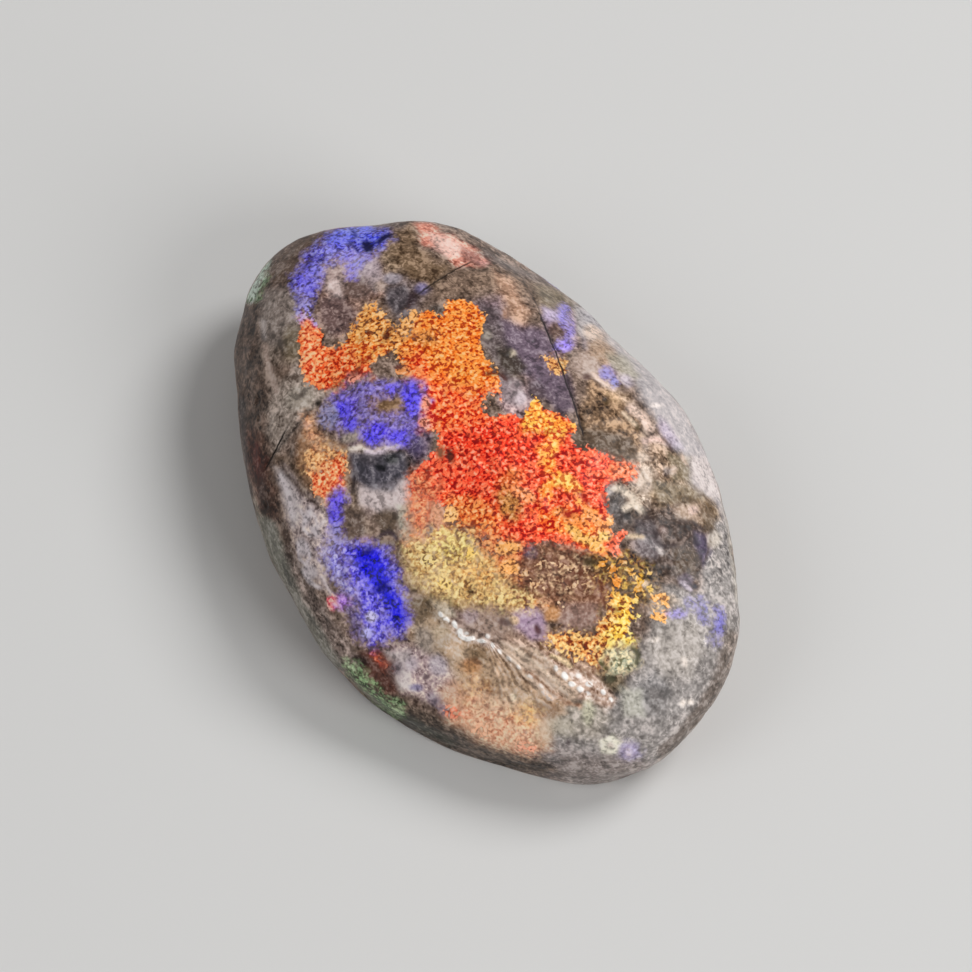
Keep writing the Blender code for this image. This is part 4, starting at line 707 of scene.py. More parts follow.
                          (480, 740), (464, 725)), (255, 204, 190), (255, 238, 230), (226, 160, 140), 0.60, 11),
    ("foot_amber", oval(528, 712, 13, 10), (236, 188, 130), (255, 224, 178), (186, 134, 84), 0.58, 10),
    ("foot_red", oval(454, 713, 8, 5), (244, 156, 146), (255, 196, 186), (194, 102, 90), 0.50, 7),
    ("foot_upper", oval(474, 688, 14, 12), (230, 178, 134), (252, 218, 182), (182, 128, 88), 0.48, 11),
    ("right_blue_a", stroke(4, (717, 612), (717, 630), (714, 641)), (126, 120, 178), (158, 154, 212), (92, 86, 132), 0.55, 6),
    ("right_blue_b", stroke(3, (703, 600), (703, 618)), (132, 128, 178), (162, 158, 208), (100, 94, 134), 0.5, 5),
    ("right_blue_c", oval(676, 614, 8, 4), (154, 148, 194), (184, 178, 220), (118, 110, 150), 0.5, 5),
    ("right_blue_d", stroke(3, (690, 600), (697, 608)), (138, 134, 184), (166, 162, 214), (104, 98, 140), 0.5, 5),
    ("tail_bloom", oval(630, 751, 10, 8), (174, 168, 196), (214, 210, 232), (130, 124, 152), 0.44, 8),
    ("top_fleck", patch((541, 357), (556, 355), (567, 362), (563, 375), (549, 373)), (216, 164, 112), (248, 210, 162), (150, 100, 60), 0.85, 4),
    ("top_bloom", oval(563, 345, 6, 6), (142, 128, 224), (176, 164, 246), (100, 86, 160), 0.7, 4),
    ("top_bloom_b", oval(563, 312, 5, 6), (150, 144, 226), (180, 176, 244), (110, 102, 166), 0.6, 4),
    # green edge: its own green, lifted lighter in part as painted light for the dim grazing light on this edge
    ("green_edge", stroke(3.5, (250, 299), (254, 285), (260, 271), (266, 262)), (172, 216, 168), (236, 252, 230), (84, 142, 84), 0.9, 3),
    ("green_edge_dark", stroke(3, (257, 294), (264, 279)), (88, 128, 76), (134, 172, 118), (48, 78, 42), 0.8, 4),
    ("green_foot", patch((345, 660), (356, 662), (373, 681), (386, 698), (402, 706), (404, 716), (390, 717), (371, 701), (354, 683)),
     (78, 108, 70), (160, 198, 142), (42, 62, 38), 0.54, 6),
    ("green_foot_a", oval(353, 667, 5, 3, 30), (160, 180, 136), (204, 220, 180), (96, 116, 76), 0.85, 3),
    ("green_foot_b", oval(398, 708, 4, 6), (156, 178, 130), (206, 222, 180), (90, 110, 70), 0.85, 3),
    ("red_skin", stroke(3, (373, 653), (379, 660), (387, 667)), (176, 82, 64), (204, 112, 90), (120, 48, 36), 0.7, 4),
    ("notch_clear", patch((372, 363), (380, 357), (394, 362), (400, 372), (392, 380), (376, 379)), (140, 130, 104), (170, 160, 134), (104, 94, 70), 0.0, 4),
    ("red_notch_clear", oval(490, 402, 9, 12), (150, 130, 140), (180, 160, 170), (110, 90, 96), 0.25, 5),
)

# Single grains and small runs of grains: shape, tone, density, softness
SPARKS = (
    (oval(400, 371, 5, 3), (240, 172, 124), 0.9, 2.5),
    (oval(354, 378, 4, 3), (245, 170, 165), 0.9, 2),
    (stroke(3, (404, 332), (414, 312)), (252, 194, 134), 0.9, 2.5),
    (oval(424, 422, 3, 3), (250, 168, 160), 0.9, 2),
    (oval(425, 403, 2.5, 4), (250, 168, 160), 0.9, 2),
    (oval(624, 471, 6, 3.5), (246, 146, 114), 0.8, 3),
    (stroke(2.4, (571, 528), (581, 538), (598, 545)), (255, 202, 128), 1.0, 2),
    (stroke(2.0, (560, 512), (572, 519), (584, 522)), (252, 160, 96), 1.0, 2),
    (stroke(2.0, (586, 510), (598, 521), (606, 528)), (250, 170, 110), 1.0, 2),
    (oval(604, 536, 3, 2), (252, 220, 150), 0.9, 2),
    (oval(611, 521, 2.4, 3), (248, 190, 132), 0.9, 2),
    (stroke(4, (624, 533), (614, 545), (616, 552)), (232, 112, 84), 0.9, 2.5),
    (stroke(3, (518, 492), (530, 498)), (250, 165, 120), 0.95, 2),
    (oval(508, 548, 8, 4), (252, 192, 132), 0.9, 2.5),
    (oval(510, 567, 7, 5), (252, 192, 132), 0.85, 2.5),
    (oval(450, 515, 5, 6), (255, 207, 152), 0.9, 2.5),
    (stroke(3, (652, 598), (664, 596), (668, 608), (664, 620), (654, 616)), (246, 196, 132), 0.85, 2.5),
    (oval(343, 410, 6, 6), (100, 84, 250), 0.95, 3),
    (oval(352, 425, 5, 5), (104, 88, 250), 0.95, 3),
    (oval(378, 430, 5, 5), (96, 76, 248), 0.95, 3),
    (oval(372, 438, 6, 4), (104, 88, 250), 0.95, 3),
    (oval(400, 438, 6, 5), (104, 88, 250), 0.95, 3),
    (oval(392, 388, 5, 4), (124, 108, 246), 0.9, 3),
    (oval(411, 398, 7, 13), (98, 82, 238), 0.9, 3),
    (oval(327, 416, 8, 11), (140, 140, 182), 0.6, 4),
    (oval(336, 502, 6, 6), (112, 92, 234), 0.9, 3),
    (oval(335, 516, 6, 7), (98, 82, 220), 0.9, 3),
    (oval(336, 528, 3, 4), (142, 132, 222), 0.85, 2.5),
    (oval(334, 538, 5, 8), (162, 156, 218), 0.6, 3),
    (oval(371, 617, 3, 3), (220, 216, 255), 0.95, 1.8),
    (oval(366, 633, 3, 3), (196, 194, 255), 0.95, 1.8),
    (oval(452, 712, 6, 4, 20), (240, 150, 134), 0.7, 3),
    (oval(480, 731, 7, 6), (255, 206, 192), 0.65, 4),
    (oval(526, 748, 7, 3, 10), (246, 186, 176), 0.6, 3.5),
    # white-green grains of the green edge, lifted lighter in part as painted light
    (oval(252, 290, 3, 4), (218, 238, 214), 0.95, 2),
    (oval(257, 280, 3, 5), (218, 238, 214), 0.95, 2),
    (oval(263, 268, 3, 6, 35), (206, 228, 202), 0.95, 2),
    (oval(566, 345, 5, 5), (172, 152, 244), 0.9, 2.5),
    (oval(564, 316, 5, 11), (150, 140, 224), 0.7, 3),
    (oval(570, 330, 5, 10), (150, 136, 206), 0.7, 3),
    (oval(606, 373, 7, 6, 40), (152, 147, 206), 0.8, 3),
    (oval(615, 382, 4, 5), (150, 150, 206), 0.8, 2.5),
    (oval(352, 230, 5, 2.4), (136, 146, 255), 0.9, 2),
    (oval(366, 228, 5, 2), (120, 130, 255), 0.9, 2),
    (oval(341, 238, 4, 2.4, -20), (128, 132, 252), 0.85, 2),
    (oval(331, 250, 4, 3, -30), (150, 148, 248), 0.8, 2),
    (oval(360, 262, 4, 3), (156, 154, 246), 0.8, 2.5),
    (oval(314, 270, 3, 4), (140, 134, 240), 0.8, 2.5),
    (oval(308, 286, 3, 4), (128, 120, 236), 0.8, 2.5),
    (oval(720, 625, 5, 14, 5), (110, 106, 180), 0.7, 5),
    (oval(704, 615, 4, 7), (120, 116, 180), 0.6, 4),
    (oval(694, 604, 6, 5), (134, 128, 184), 0.5, 4),
    (oval(678, 614, 7, 4), (172, 162, 218), 0.7, 3),
    (oval(716, 642, 4, 6), (146, 140, 186), 0.45, 4),
    (oval(544, 604, 6, 4), (220, 150, 96), 0.7, 3),
    (stroke(1.6, (536, 566), (548, 560), (560, 566)), (212, 184, 162), 0.5, 2),
    (stroke(1.6, (560, 580), (574, 586), (588, 584)), (204, 176, 156), 0.5, 2),
    (stroke(1.5, (566, 565), (578, 572), (590, 570)), (206, 180, 160), 0.5, 2),
    (stroke(1.5, (542, 602), (554, 598), (562, 606)), (206, 178, 158), 0.45, 2),
    (stroke(1.6, (524, 572), (532, 584), (546, 590)), (216, 184, 158), 0.55, 2),
    (oval(603, 563, 3.4, 3), (222, 160, 74), 0.8, 1.8),
    (oval(612, 570, 3.4, 2.6), (216, 150, 66), 0.8, 1.8),
    (oval(622, 560, 3, 3), (196, 148, 88), 0.7, 1.8),
    (oval(616, 582, 3, 4), (226, 150, 60), 0.8, 1.8),
    (oval(631, 572, 3.2, 3), (214, 170, 84), 0.75, 1.8),
    (oval(641, 580, 3.4, 4), (228, 190, 92), 0.8, 1.8),
    (oval(649, 573, 3, 2.6), (222, 196, 130), 0.7, 1.8),
    (oval(637, 590, 3.4, 3), (214, 164, 70), 0.75, 1.8),
    (oval(651, 588, 2.8, 3), (226, 200, 120), 0.7, 1.8),
    (oval(470, 553, 4, 3), (250, 226, 150), 0.9, 2),
    (oval(428, 560, 5, 4), (252, 240, 190), 0.9, 2),
    (oval(446, 584, 6, 3, 20), (250, 232, 170), 0.9, 2),
)

# Dark marks: name, shape, colour, strength, softness
MARKS = (
    ("crack_left", stroke(0.9, (273, 453), (290, 433), (302, 419), (310, 410), (318, 402), (328, 392), (340, 382), (352, 373), (360, 367)),
     (24, 14, 10), 0.92, 1.5),
    ("crack_middle", stroke(0.7, (360, 367), (380, 345), (398, 324), (414, 306), (426, 293)), (50, 26, 14), 0.6, 1.6),
    ("crack_top", stroke(0.9, (426, 293), (433, 285), (445, 273), (455, 265), (462, 263)), (52, 40, 28), 0.85, 1.5),
    ("crack_edge", stroke(0.8, (488, 265), (505, 272), (516, 273), (530, 280), (537, 295)), (60, 50, 42), 0.7, 1.6),
    ("crack_right", stroke(0.8, (545, 324), (552, 340), (559, 351), (565, 363), (569, 382), (573, 398), (578, 415), (582, 428)),
     (44, 36, 40), 0.85, 1.5),
    ("crack_right_end", oval(582, 426, 3.5, 4.5), (48, 38, 28), 0.8, 2.5),
    ("dot_a", oval(318, 403, 3, 4, 20), (22, 14, 10), 0.95, 2),
    ("dot_b", oval(301, 394, 2.2, 3), (60, 48, 42), 0.9, 2),
    ("arc_navy", patch((361, 241), (367, 239), (373, 242), (379, 237), (386, 232), (392, 230), (394, 234), (385, 240), (375, 244), (371, 251),
                       (366, 253), (361, 247)), (6, 4, 56), 0.97, 2),
    ("arc_navy_b", stroke(1.8, (352, 230), (355, 235)), (20, 18, 110), 0.85, 2),
    ("arc_navy_c", stroke(1.8, (350, 242), (358, 250)), (16, 14, 96), 0.85, 2),
    ("arc_navy_d", oval(320, 259, 3, 2.5), (24, 18, 90), 0.85, 2),
    ("arc_navy_e", stroke(1.6, (303, 269), (309, 260), (313, 255)), (54, 44, 90), 0.8, 2),
    ("arm_gap_a", oval(386, 336, 4, 4), (70, 16, 8), 0.9, 2),
    ("arm_gap_b", oval(388, 354, 2.6, 3), (60, 16, 10), 0.9, 2),
    ("arm_gap_c", oval(399, 366, 5, 2.6, -15), (90, 20, 8), 0.85, 2),
    ("arm_gap_d", stroke(1.8, (352, 375), (358, 371)), (110, 24, 8), 0.85, 2),
    ("arm_gap_e", stroke(1.6, (360, 362), (369, 359)), (150, 34, 8), 0.8, 2),
    ("grey_navy", patch((373, 464), (378, 463), (386, 466), (385, 471), (377, 471)), (8, 8, 16), 0.97, 2),
    ("hole", oval(450, 455, 4, 8, -15), (52, 24, 10), 0.9, 3),
    ("hole_olive", oval(441, 452, 5, 6), (128, 96, 66), 0.8, 4),
    ("red_gap_a", stroke(0.7, (519, 430), (532, 432), (545, 431), (558, 433), (570, 432)), (170, 30, 10), 0.6, 1.3),
    ("red_gap_b", stroke(1.1, (440, 476), (440, 490), (431, 500), (428, 520)), (188, 76, 50), 0.75, 1.5),
    ("red_gap_c", stroke(2.0, (580, 494), (588, 502)), (150, 8, 8), 0.8, 2),
    ("red_gap_d", oval(568, 514, 6, 4), (170, 10, 4), 0.75, 3),
    ("edge_gap", stroke(2.2, (487, 373), (498, 373), (506, 379)), (74, 22, 10), 0.85, 2),
    ("brown_gap_a", oval(590, 562, 8, 4), (56, 42, 18), 0.85, 3),
    ("brown_gap_b", oval(580, 574, 6, 3), (92, 44, 22), 0.8, 3),
    ("brown_gap_c", stroke(2.0, (600, 582), (602, 596), (606, 608), (618, 610)), (96, 40, 18), 0.8, 2.5),
    ("gold_gap", oval(470, 592, 4, 2.4, 25), (52, 22, 8), 0.92, 1.6),
    ("lilac_gap_a", oval(505, 622, 8, 3.5, 10), (76, 50, 50), 0.8, 2.5),
    ("lilac_gap_b", oval(538, 630, 3.5, 6, -20), (78, 34, 36), 0.9, 2),
    ("green_gap_a", stroke(2.4, (632, 649), (638, 655), (637, 663)), (76, 74, 52), 0.9, 2),
    ("green_gap_b", oval(611, 680, 4.5, 4), (72, 70, 50), 0.9, 2),
    ("green_gap_c", stroke(1.6, (600, 662), (606, 668)), (84, 84, 40), 0.8, 2),
    ("patch_gap", oval(587, 376, 4, 3), (92, 66, 62), 0.9, 1.8),
    ("patch_gap_b", oval(607, 402, 3, 2.4), (74, 54, 24), 0.9, 1.8),
    ("patch_gap_c", oval(638, 428, 2.4, 3), (78, 62, 36), 0.9, 1.8),
    ("cream_shadow", stroke(1.5, (663, 437), (670, 444), (672, 450)), (84, 64, 58), 0.85, 1.6),
    ("dark_seam", stroke(2.0, (646, 512), (652, 525), (656, 540), (664, 546), (676, 545)), (54, 42, 44), 0.8, 2.5),
    ("dark_seam_b", stroke(1.8, (674, 506), (682, 501), (694, 500)), (80, 60, 44), 0.8, 2),
    ("dark_seam_c", stroke(1.8, (680, 521), (692, 522), (704, 529)), (70, 60, 60), 0.75, 2),
    ("rough_crack_a", stroke(0.9, (664, 506), (674, 500), (682, 494), (690, 498), (702, 495), (713, 503)), (84, 64, 44), 0.85, 1.8),
    ("rough_crack_b", stroke(0.8, (640, 499), (652, 506), (664, 506)), (88, 70, 52), 0.8, 1.8),
    ("rough_crack_c", stroke(1.2, (603, 494), (608, 508), (616, 520), (628, 527), (640, 524), (646, 512)), (62, 52, 52), 0.8, 2.2),
    ("rough_crack_d", stroke(0.8, (650, 464), (655, 474), (654, 486), (648, 496)), (104, 86, 66), 0.75, 1.8),
    ("rough_crack_e", stroke(0.8, (676, 470), (684, 480), (696, 486), (706, 498)), (104, 88, 64), 0.7, 2),
    ("rough_crack_f", stroke(0.8, (640, 470), (646, 480), (642, 490), (634, 497)), (108, 92, 74), 0.7, 1.8),
    ("rough_crack_g", stroke(1.0, (706, 520), (712, 532), (710, 546), (706, 560)), (92, 78, 66), 0.7, 2),
    ("dark_seam_d", oval(694, 586, 5, 2.4, 30), (76, 74, 82), 0.85, 2),
    ("front_spot", oval(426, 677, 3, 2.6), (92, 72, 78), 0.85, 2),
    ("front_seam", stroke(1.4, (372, 646), (388, 670), (400, 690), (420, 702), (446, 720)), (66, 50, 46), 0.6, 3),
    ("tail_spot", oval(568, 743, 1.8, 3), (88, 76, 78), 0.85, 1.5),
    ("arc_curl", stroke(1.4, (380, 536), (388, 531), (394, 534), (397, 540)), (72, 56, 62), 0.8, 1.8),
    ("blue_gap", oval(366, 551, 6, 3.5, -20), (34, 24, 110), 0.8, 3),
    ("blue_gap_b", oval(381, 588, 8, 5, -20), (8, 0, 96), 0.75, 4),
)


# Where the potch runs in streaks along the stone: name, shape, amount, softness
STREAKY = (
    ("left_wall", patch((234, 300), (262, 298), (285, 460), (300, 490), (326, 506), (333, 560), (331, 600), (350, 640), (392, 702),
                        (340, 690), (284, 620), (240, 480)), 1.0, 10),
    ("front_bevel", patch((442, 617), (500, 650), (560, 700), (560, 740), (500, 745), (440, 700), (400, 640)), 0.6, 10),
    ("between_ridges", patch((496, 634), (545, 624), (602, 681), (615, 700), (560, 700), (500, 650)), 1.0, 6),
    ("right_bevel", patch((576, 300), (640, 345), (706, 446), (730, 500), (700, 500), (640, 400), (590, 335)), 0.15, 8),
)
TONE_SPREAD = 1.20

# The potch as a whole: grey-brown the zones vary about, how far they vary from
# it, and the warm cast of the stone
POTCH_CENTRE = (140.0, 126.0, 116.0)
ZONE_CONTRAST = 1.32
ZONE_COLOUR = 0.95
FIRE_SPREAD = 1.20
FIRE_VIVID = 1.16
FIRE_CAST = (1.0, 0.925, 0.80)
COOL_CAST = (0.98, 0.96, 1.0)
POTCH_CAST = (0.945, 0.866, 0.818)

# The sides and the back carry thin seams of colour along the stone: azimuth,
# spread in degrees, height and thickness in mm, middle, light, dark, density
SEAMS = (
    (72, 15, 3.3, 0.80, (226, 108, 58), (250, 170, 112), (156, 48, 24), 0.72),
    (96, 8, 2.3, 0.55, (206, 148, 88), (238, 196, 136), (140, 92, 44), 0.50),
    (30, 13, 2.7, 0.70, (94, 88, 190), (150, 144, 226), (52, 44, 116), 0.55),
    (122, 12, 3.6, 0.75, (110, 100, 182), (160, 150, 222), (64, 54, 112), 0.50),
    (150, 9, 2.5, 0.60, (124, 152, 114), (186, 208, 170), (70, 94, 66), 0.45),
    (168, 8, 3.3, 0.50, (204, 124, 90), (236, 176, 144), (140, 72, 48), 0.45),
    (320, 10, 1.9, 0.60, (200, 148, 100), (232, 190, 146), (130, 86, 52), 0.42),
    (348, 9, 2.1, 0.55, (104, 98, 180), (150, 144, 218), (60, 52, 108), 0.45),
)
# Spots of colour that come through the ground underside: x, y, size, tones
UNDER_SPOTS = (
    (-2.4, 3.6, 2.1, 1.0, 30, (84, 78, 204), (146, 140, 238), (44, 36, 120), 0.62),
    (1.9, -3.8, 1.7, 0.8, -20, (226, 116, 60), (250, 172, 112), (150, 50, 22), 0.62),
    (2.8, 5.4, 1.1, 0.7, 60, (206, 164, 92), (240, 206, 140), (140, 100, 48), 0.50),
    (-1.6, -6.6, 1.3, 0.6, 10, (130, 158, 112), (190, 214, 166), (74, 98, 62), 0.45),
)
# Skins of the unseen sides: tones and how much of the surface each takes
IRON_SKIN = ((116, 92, 76), (136, 112, 94), (88, 66, 52))
PALE_SKIN = ((154, 148, 144), (176, 170, 167), (128, 121, 117))
OLIVE_SKIN = ((122, 114, 98), (142, 134, 118), (98, 90, 74))
# pale tone of the flank below the pale bevel, carrying its painted light down the wall
PALE_FLANK_PAINTED_LIGHT = ((176, 180, 184), (198, 202, 206), (146, 147, 149))
PLAIN_SKIN = ((134, 124, 115), (156, 147, 139), (110, 99, 90))

# Two healed joints cross the face as straight hairlines.  Each is a plane
# through two sketch points, dipping steeply; strength is painted along it.
JOINTS = (
    ((273, 453), (462, 263), (stroke(6, (266, 460), (360, 367)), stroke(5, (396, 326), (428, 291)), stroke(5, (428, 291), (466, 262))), (1.0, 0.55, 0.85)),
    ((545, 324), (582, 428), (stroke(5, (530, 280), (541, 312)), stroke(5, (544, 322), (582, 428))), (0.55, 0.95)),
)
# Rough, unpolished areas: outline and height of the roughness in millimetres
ROUGH = (
    (patch((600, 476), (660, 440), (700, 480), (722, 520), (706, 566), (690, 592), (650, 586), (612, 540)), 0.055),
    (patch((585, 385), (640, 410), (645, 450), (605, 450), (580, 425)), 0.035),
    (patch((500, 560), (600, 555), (606, 606), (550, 616), (510, 600)), 0.035),
    (patch((250, 510), (330, 640), (390, 705), (460, 740), (540, 765), (520, 780), (400, 735), (300, 640)), 0.030),
)
# Painted highlights: white glints painted along the worn crests, strokes with their strength
PAINTED_GLINTS = (
    (oval(441, 614, 2.8, 1.8, 40), 1.0),
    (oval(447, 620, 3.0, 2.0, 45), 1.0),
    (oval(455, 625, 2.0, 3.2, -15), 1.0),
    (stroke(2.0, (460, 631), (461, 636), (466, 639), (472, 638)), 1.0),
    (oval(466, 633, 1.5, 1.2), 0.7),
    (oval(481, 641, 4.2, 1.7, 12), 1.0),
    (oval(489, 637, 1.6, 1.9), 0.7),
    (oval(493, 645, 1.6, 2.2, -20), 0.8),
    (oval(500, 651, 2.2, 1.3, 45), 0.7),
    (oval(509, 659, 2.6, 1.2, 45), 0.65),
    (oval(519, 667, 2.2, 1.3, 45), 0.65),
    (oval(530, 676, 2.6, 1.2, 45), 0.6),
    (oval(541, 686, 2.0, 1.1, 40), 0.5),
    (oval(556, 668, 1.5, 2.4), 0.7),
    (oval(565, 676, 2.6, 3.4, -20), 0.95),
    (oval(572, 684, 3.0, 2.2, 20), 0.9),
    (oval(580, 689, 3.2, 2.0, 20), 0.85),
    (oval(588, 694, 2.4, 1.4, 30), 0.7),
    (oval(578, 676, 2.0, 1.8), 0.8),
    (oval(589, 684, 3.2, 2.4, 10), 0.9),
    (oval(603, 692, 1.6, 2.2, -30), 0.9),
    (oval(611, 699, 2.0, 1.5, 45), 0.9),
)
RIDGE_STRIPS = (stroke(7, (438, 612), (466, 634), (492, 644), (520, 668), (546, 691), (572, 704)),
                stroke(6, (528, 658), (550, 668), (572, 684), (592, 688), (616, 701)))
# Fine steps run beside the ridges: direction and start in sketch units, pitch
STRIAE_START = (442.0, 615.0)
STRIAE_TURN = 29.0
STRIAE_PITCH = 6.5
FAN_POINT = (484.0, 632.0)
FAN_STEPS = 50.0
STRIAE_ZONE = patch((446, 612), (500, 636), (548, 652), (592, 672), (618, 698), (600, 708), (560, 712), (520, 704), (484, 676), (452, 640))


# ------------------------------------------------------------------ build the mesh
def rock_mesh(quick):
    bm = bmesh.new()
    bmesh.ops.create_icosphere(bm, subdivisions=6 if quick else 7, radius=1.0)
    # one finer level on the main face and the walls in front
    look = Vector(tuple(-AHEAD * np.array([1.0, 1.0, 0.9]))).normalized()
    bm.faces.ensure_lookup_table()
    scored = sorted(bm.faces, key=lambda f: -f.calc_center_median().dot(look))
    keep = scored[:int(len(scored) * 0.40)]
    edges = {e for f in keep for e in f.edges}
    bmesh.ops.subdivide_edges(bm, edges=list(edges), cuts=1, use_grid_fill=True)
    bmesh.ops.triangulate(bm, faces=bm.faces[:])
    # and one more along the stepped ridges, whose crests are hair thin
    bm.faces.ensure_lookup_table()
    middles = np.array([f.calc_center_median()[:] for f in bm.faces])
    middles /= np.linalg.norm(middles, axis=1)[:, None]
    facing = np.nonzero(middles @ np.array(look) > 0.3)[0]
    u, v = sketch(surface_points(middles[facing]))
    thin = np.minimum(RIDGE_STRIPS[0](u, v), RIDGE_STRIPS[1](u, v)) < 0
    edges = {e for i in facing[thin] for e in bm.faces[i].edges}
    bmesh.ops.subdivide_edges(bm, edges=list(edges), cuts=1, use_grid_fill=True)
    bmesh.ops.triangulate(bm, faces=bm.faces[:])
    mesh = bpy.data.meshes.new("opal_surface")
    bm.to_mesh(mesh)
    bm.free()
    return mesh


def surface_points(unit):
    ray = unit * np.array(RAY_STRETCH)
    ray = ray / np.linalg.norm(ray, axis=1)[:, None]
    near = np.zeros(len(ray))
    far = np.full(len(ray), 20.0)
    for _ in range(26):
        mid = 0.5 * (near + far)
        p = ray * mid[:, None]
        inside = stone_field(p[:, 0], p[:, 1], p[:, 2] + RAY_HEIGHT) < 0
        near = np.where(inside, mid, near)
        far = np.where(inside, far, mid)
    p = ray * (0.5 * (near + far))[:, None]
    p[:, 2] += RAY_HEIGHT
    return p


def field_normal(p, step=0.02):
    n = np.empty_like(p)
    for axis in range(3):
        d = np.zeros(3)
        d[axis] = step
        a, b = p + d, p - d
        n[:, axis] = stone_field(a[:, 0], a[:, 1], a[:, 2]) - stone_field(b[:, 0], b[:, 1], b[:, 2])
    return n / np.linalg.norm(n, axis=1)[:, None]


def sketch(p):
    rel = p - EYE
    depth = rel @ AHEAD
    scale = SKETCH_LINES * SKETCH_DISTANCE / depth
    return SKETCH_CENTRE + (rel @ RIGHT) * scale, SKETCH_CENTRE - (rel @ ABOVE) * scale


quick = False
mesh = rock_mesh(quick)
count = len(mesh.vertices)
unit = np.empty(count * 3)
mesh.vertices.foreach_get("co", unit)
unit = unit.reshape(-1, 3)
unit /= np.linalg.norm(unit, axis=1)[:, None]
P = surface_points(unit)
N = field_normal(P)
U, V = sketch(P)
front = smooth(-0.02, 0.22, -(N @ AHEAD))
under = smooth(0.35, 0.05, P[:, 2]) * smooth(-0.6, -0.95, N[:, 2])

# -- relief, millimetres along the outward normal
relief = 0.046 * layered(P, 1.7, 3, 3) + 0.020 * layered(P, 0.60, 2, 9)
crack_depth = np.zeros(count)
wu = U + 1.6 * noise(np.stack([U, V, 0 * U], 1), 14.0, 41) + 0.8 * noise(np.stack([U, V, 0 * U], 1), 5.0, 42)
wv = V + 1.6 * noise(np.stack([U, V, 0 * U], 1), 14.0, 43) + 0.8 * noise(np.stack([U, V, 0 * U], 1), 5.0, 44)
marks = np.zeros(count)
mark_colour = np.zeros((count, 3))
for name, shape, colour, strength, soft in MARKS:
    w = smooth(soft, -soft, shape(wu, wv)) * strength * front
    mark_colour = np.where((w > marks)[:, None], linear(colour), mark_colour)
    marks = np.maximum(marks, w)
relief -= 0.05 * marks
named = {row[0]: row[1] for row in BODY}
for shape, depth in ROUGH:
    relief += smooth(10, -6, shape(U, V)) * front * depth * layered(P, 0.42, 2, 91)
spall = smooth(8, -5, named["spall_mark"](U, V)) * front
relief += spall * (0.08 * layered(P, 0.8, 3, 77) - 0.08)
crest = smooth(3.0, 0.0, np.minimum(named["ridge_crest_sheen"](wu, wv), named["ridge_crest_b_sheen"](wu, wv) + 3.0)) * front
groove = smooth(4.0, 0.0, named["ridge_brown"](wu, wv)) * front
relief += 0.03 * crest - 0.05 * groove
turn = math.radians(STRIAE_TURN)
across = (V - STRIAE_START[1]) * math.cos(turn) - (U - STRIAE_START[0]) * math.sin(turn) + 2.2 * noise(np.stack([U, V, 0 * U], 1), 26.0, 81)
striae = smooth(8, -8, STRIAE_ZONE(U, V)) * front * np.sin(across * 2 * math.pi / STRIAE_PITCH)
striae *= 0.55 + 0.45 * noise(np.stack([U, V, 0 * U], 1), 18.0, 82)
# below the ridge the steps fan out from one point
away_u, away_v = U - FAN_POINT[0], V - FAN_POINT[1]
reach = np.hypot(away_u, away_v)
sweep = np.degrees(np.arctan2(away_v, away_u)) + 4.0 * noise(np.stack([U, V, 0 * U], 1), 22.0, 83)
fan = smooth(8, 22, reach) * smooth(100, 62, reach) * smooth(38, 46, sweep) * smooth(88, 74, sweep) * front
striae = striae * (1 - fan) + fan * np.sin(np.radians(sweep) * FAN_STEPS)
relief += 0.016 * striae



def on_stone(u, v):
    """Point of the upper surface under a sketch point."""
    i = int(np.argmin((U - u) ** 2 + (V - v) ** 2 + np.where(N @ AHEAD < -0.2, 0.0, 1e6)))
    return P[i]


def joint_plane(first, second, dip=82.0):
    a, b = on_stone(*first), on_stone(*second)
    along = (b - a) / np.linalg.norm(b - a)
    level = np.cross(along, np.array([0.0, 0.0, 1.0]))
    level /= np.linalg.norm(level)
    normal = level * math.sin(math.radians(dip)) + np.array([0.0, 0.0, 1.0]) * math.cos(math.radians(dip))
    normal -= along * (normal @ along)
    normal /= np.linalg.norm(normal)
    return normal, float(normal @ (0.5 * (a + b)))


planes = [joint_plane(row[0], row[1]) for row in JOINTS]
strengths = []
for (normal, offset), (_, _, shapes, amounts) in zip(planes, JOINTS):
    total = np.zeros(count)
    for shape, amount in zip(shapes, amounts):
        total = np.maximum(total, smooth(5, 0, shape(U, V)) * amount * front)
    # the joint goes right through the stone and shows again on the far side
    total = np.maximum(total, 0.7 * (1 - front) * smooth(-0.25, 0.25, noise(P, 3.2, 73 + len(strengths))))
    strengths.append(total)
    off = np.abs(P @ normal - offset + 0.05 * noise(P, 1.1, 71))
    relief -= 0.045 * total * smooth(0.10, 0.0, off)
joint_a, joint_b = strengths
# where white glints are painted on the crests as painted highlights; the mesh also gets small beads there
painted_glint = np.zeros(count)
for shape, amount in PAINTED_GLINTS:
    painted_glint = np.maximum(painted_glint, smooth(1.5, -0.4, shape(wu, wv)) * amount * front)
beads = smooth(-0.1, 0.45, noise(P, 0.28, 88))
relief += 0.055 * painted_glint * (0.35 + 0.65 * beads)

rng = np.random.default_rng(11)
pits = rng.choice(count, 170, replace=False)
for i in pits:
    radius = 0.10 + 0.28 * rng.random() ** 2
    depth = 0.03 + 0.05 * rng.random()
    d = np.linalg.norm(P - P[i], axis=1) / radius
    hit = d < 1.6
    relief[hit] -= depth * np.exp(-(d[hit] * 1.3) ** 4)

ragged = np.exp(-((P[:, 2] - 2.7) / 0.7) ** 2) * smooth(0.2, 0.7, noise(P, 0.9, 55))
relief -= 0.06 * ragged
rests = smooth(0.6, 0.06, P[:, 2])
relief = np.where(relief > 0, relief * (1 - rests), relief * (1 - 0.75 * rests))
Q = P + N * relief[:, None]
Q[:, 2] = np.maximum(Q[:, 2], 0.0)

world = (Q + np.array([AXIS_SHIFT[0], AXIS_SHIFT[1], 0.0])) * MM
mesh.vertices.foreach_set("co", world.astype(np.float32).ravel())
mesh.update()
mesh.shade_smooth()

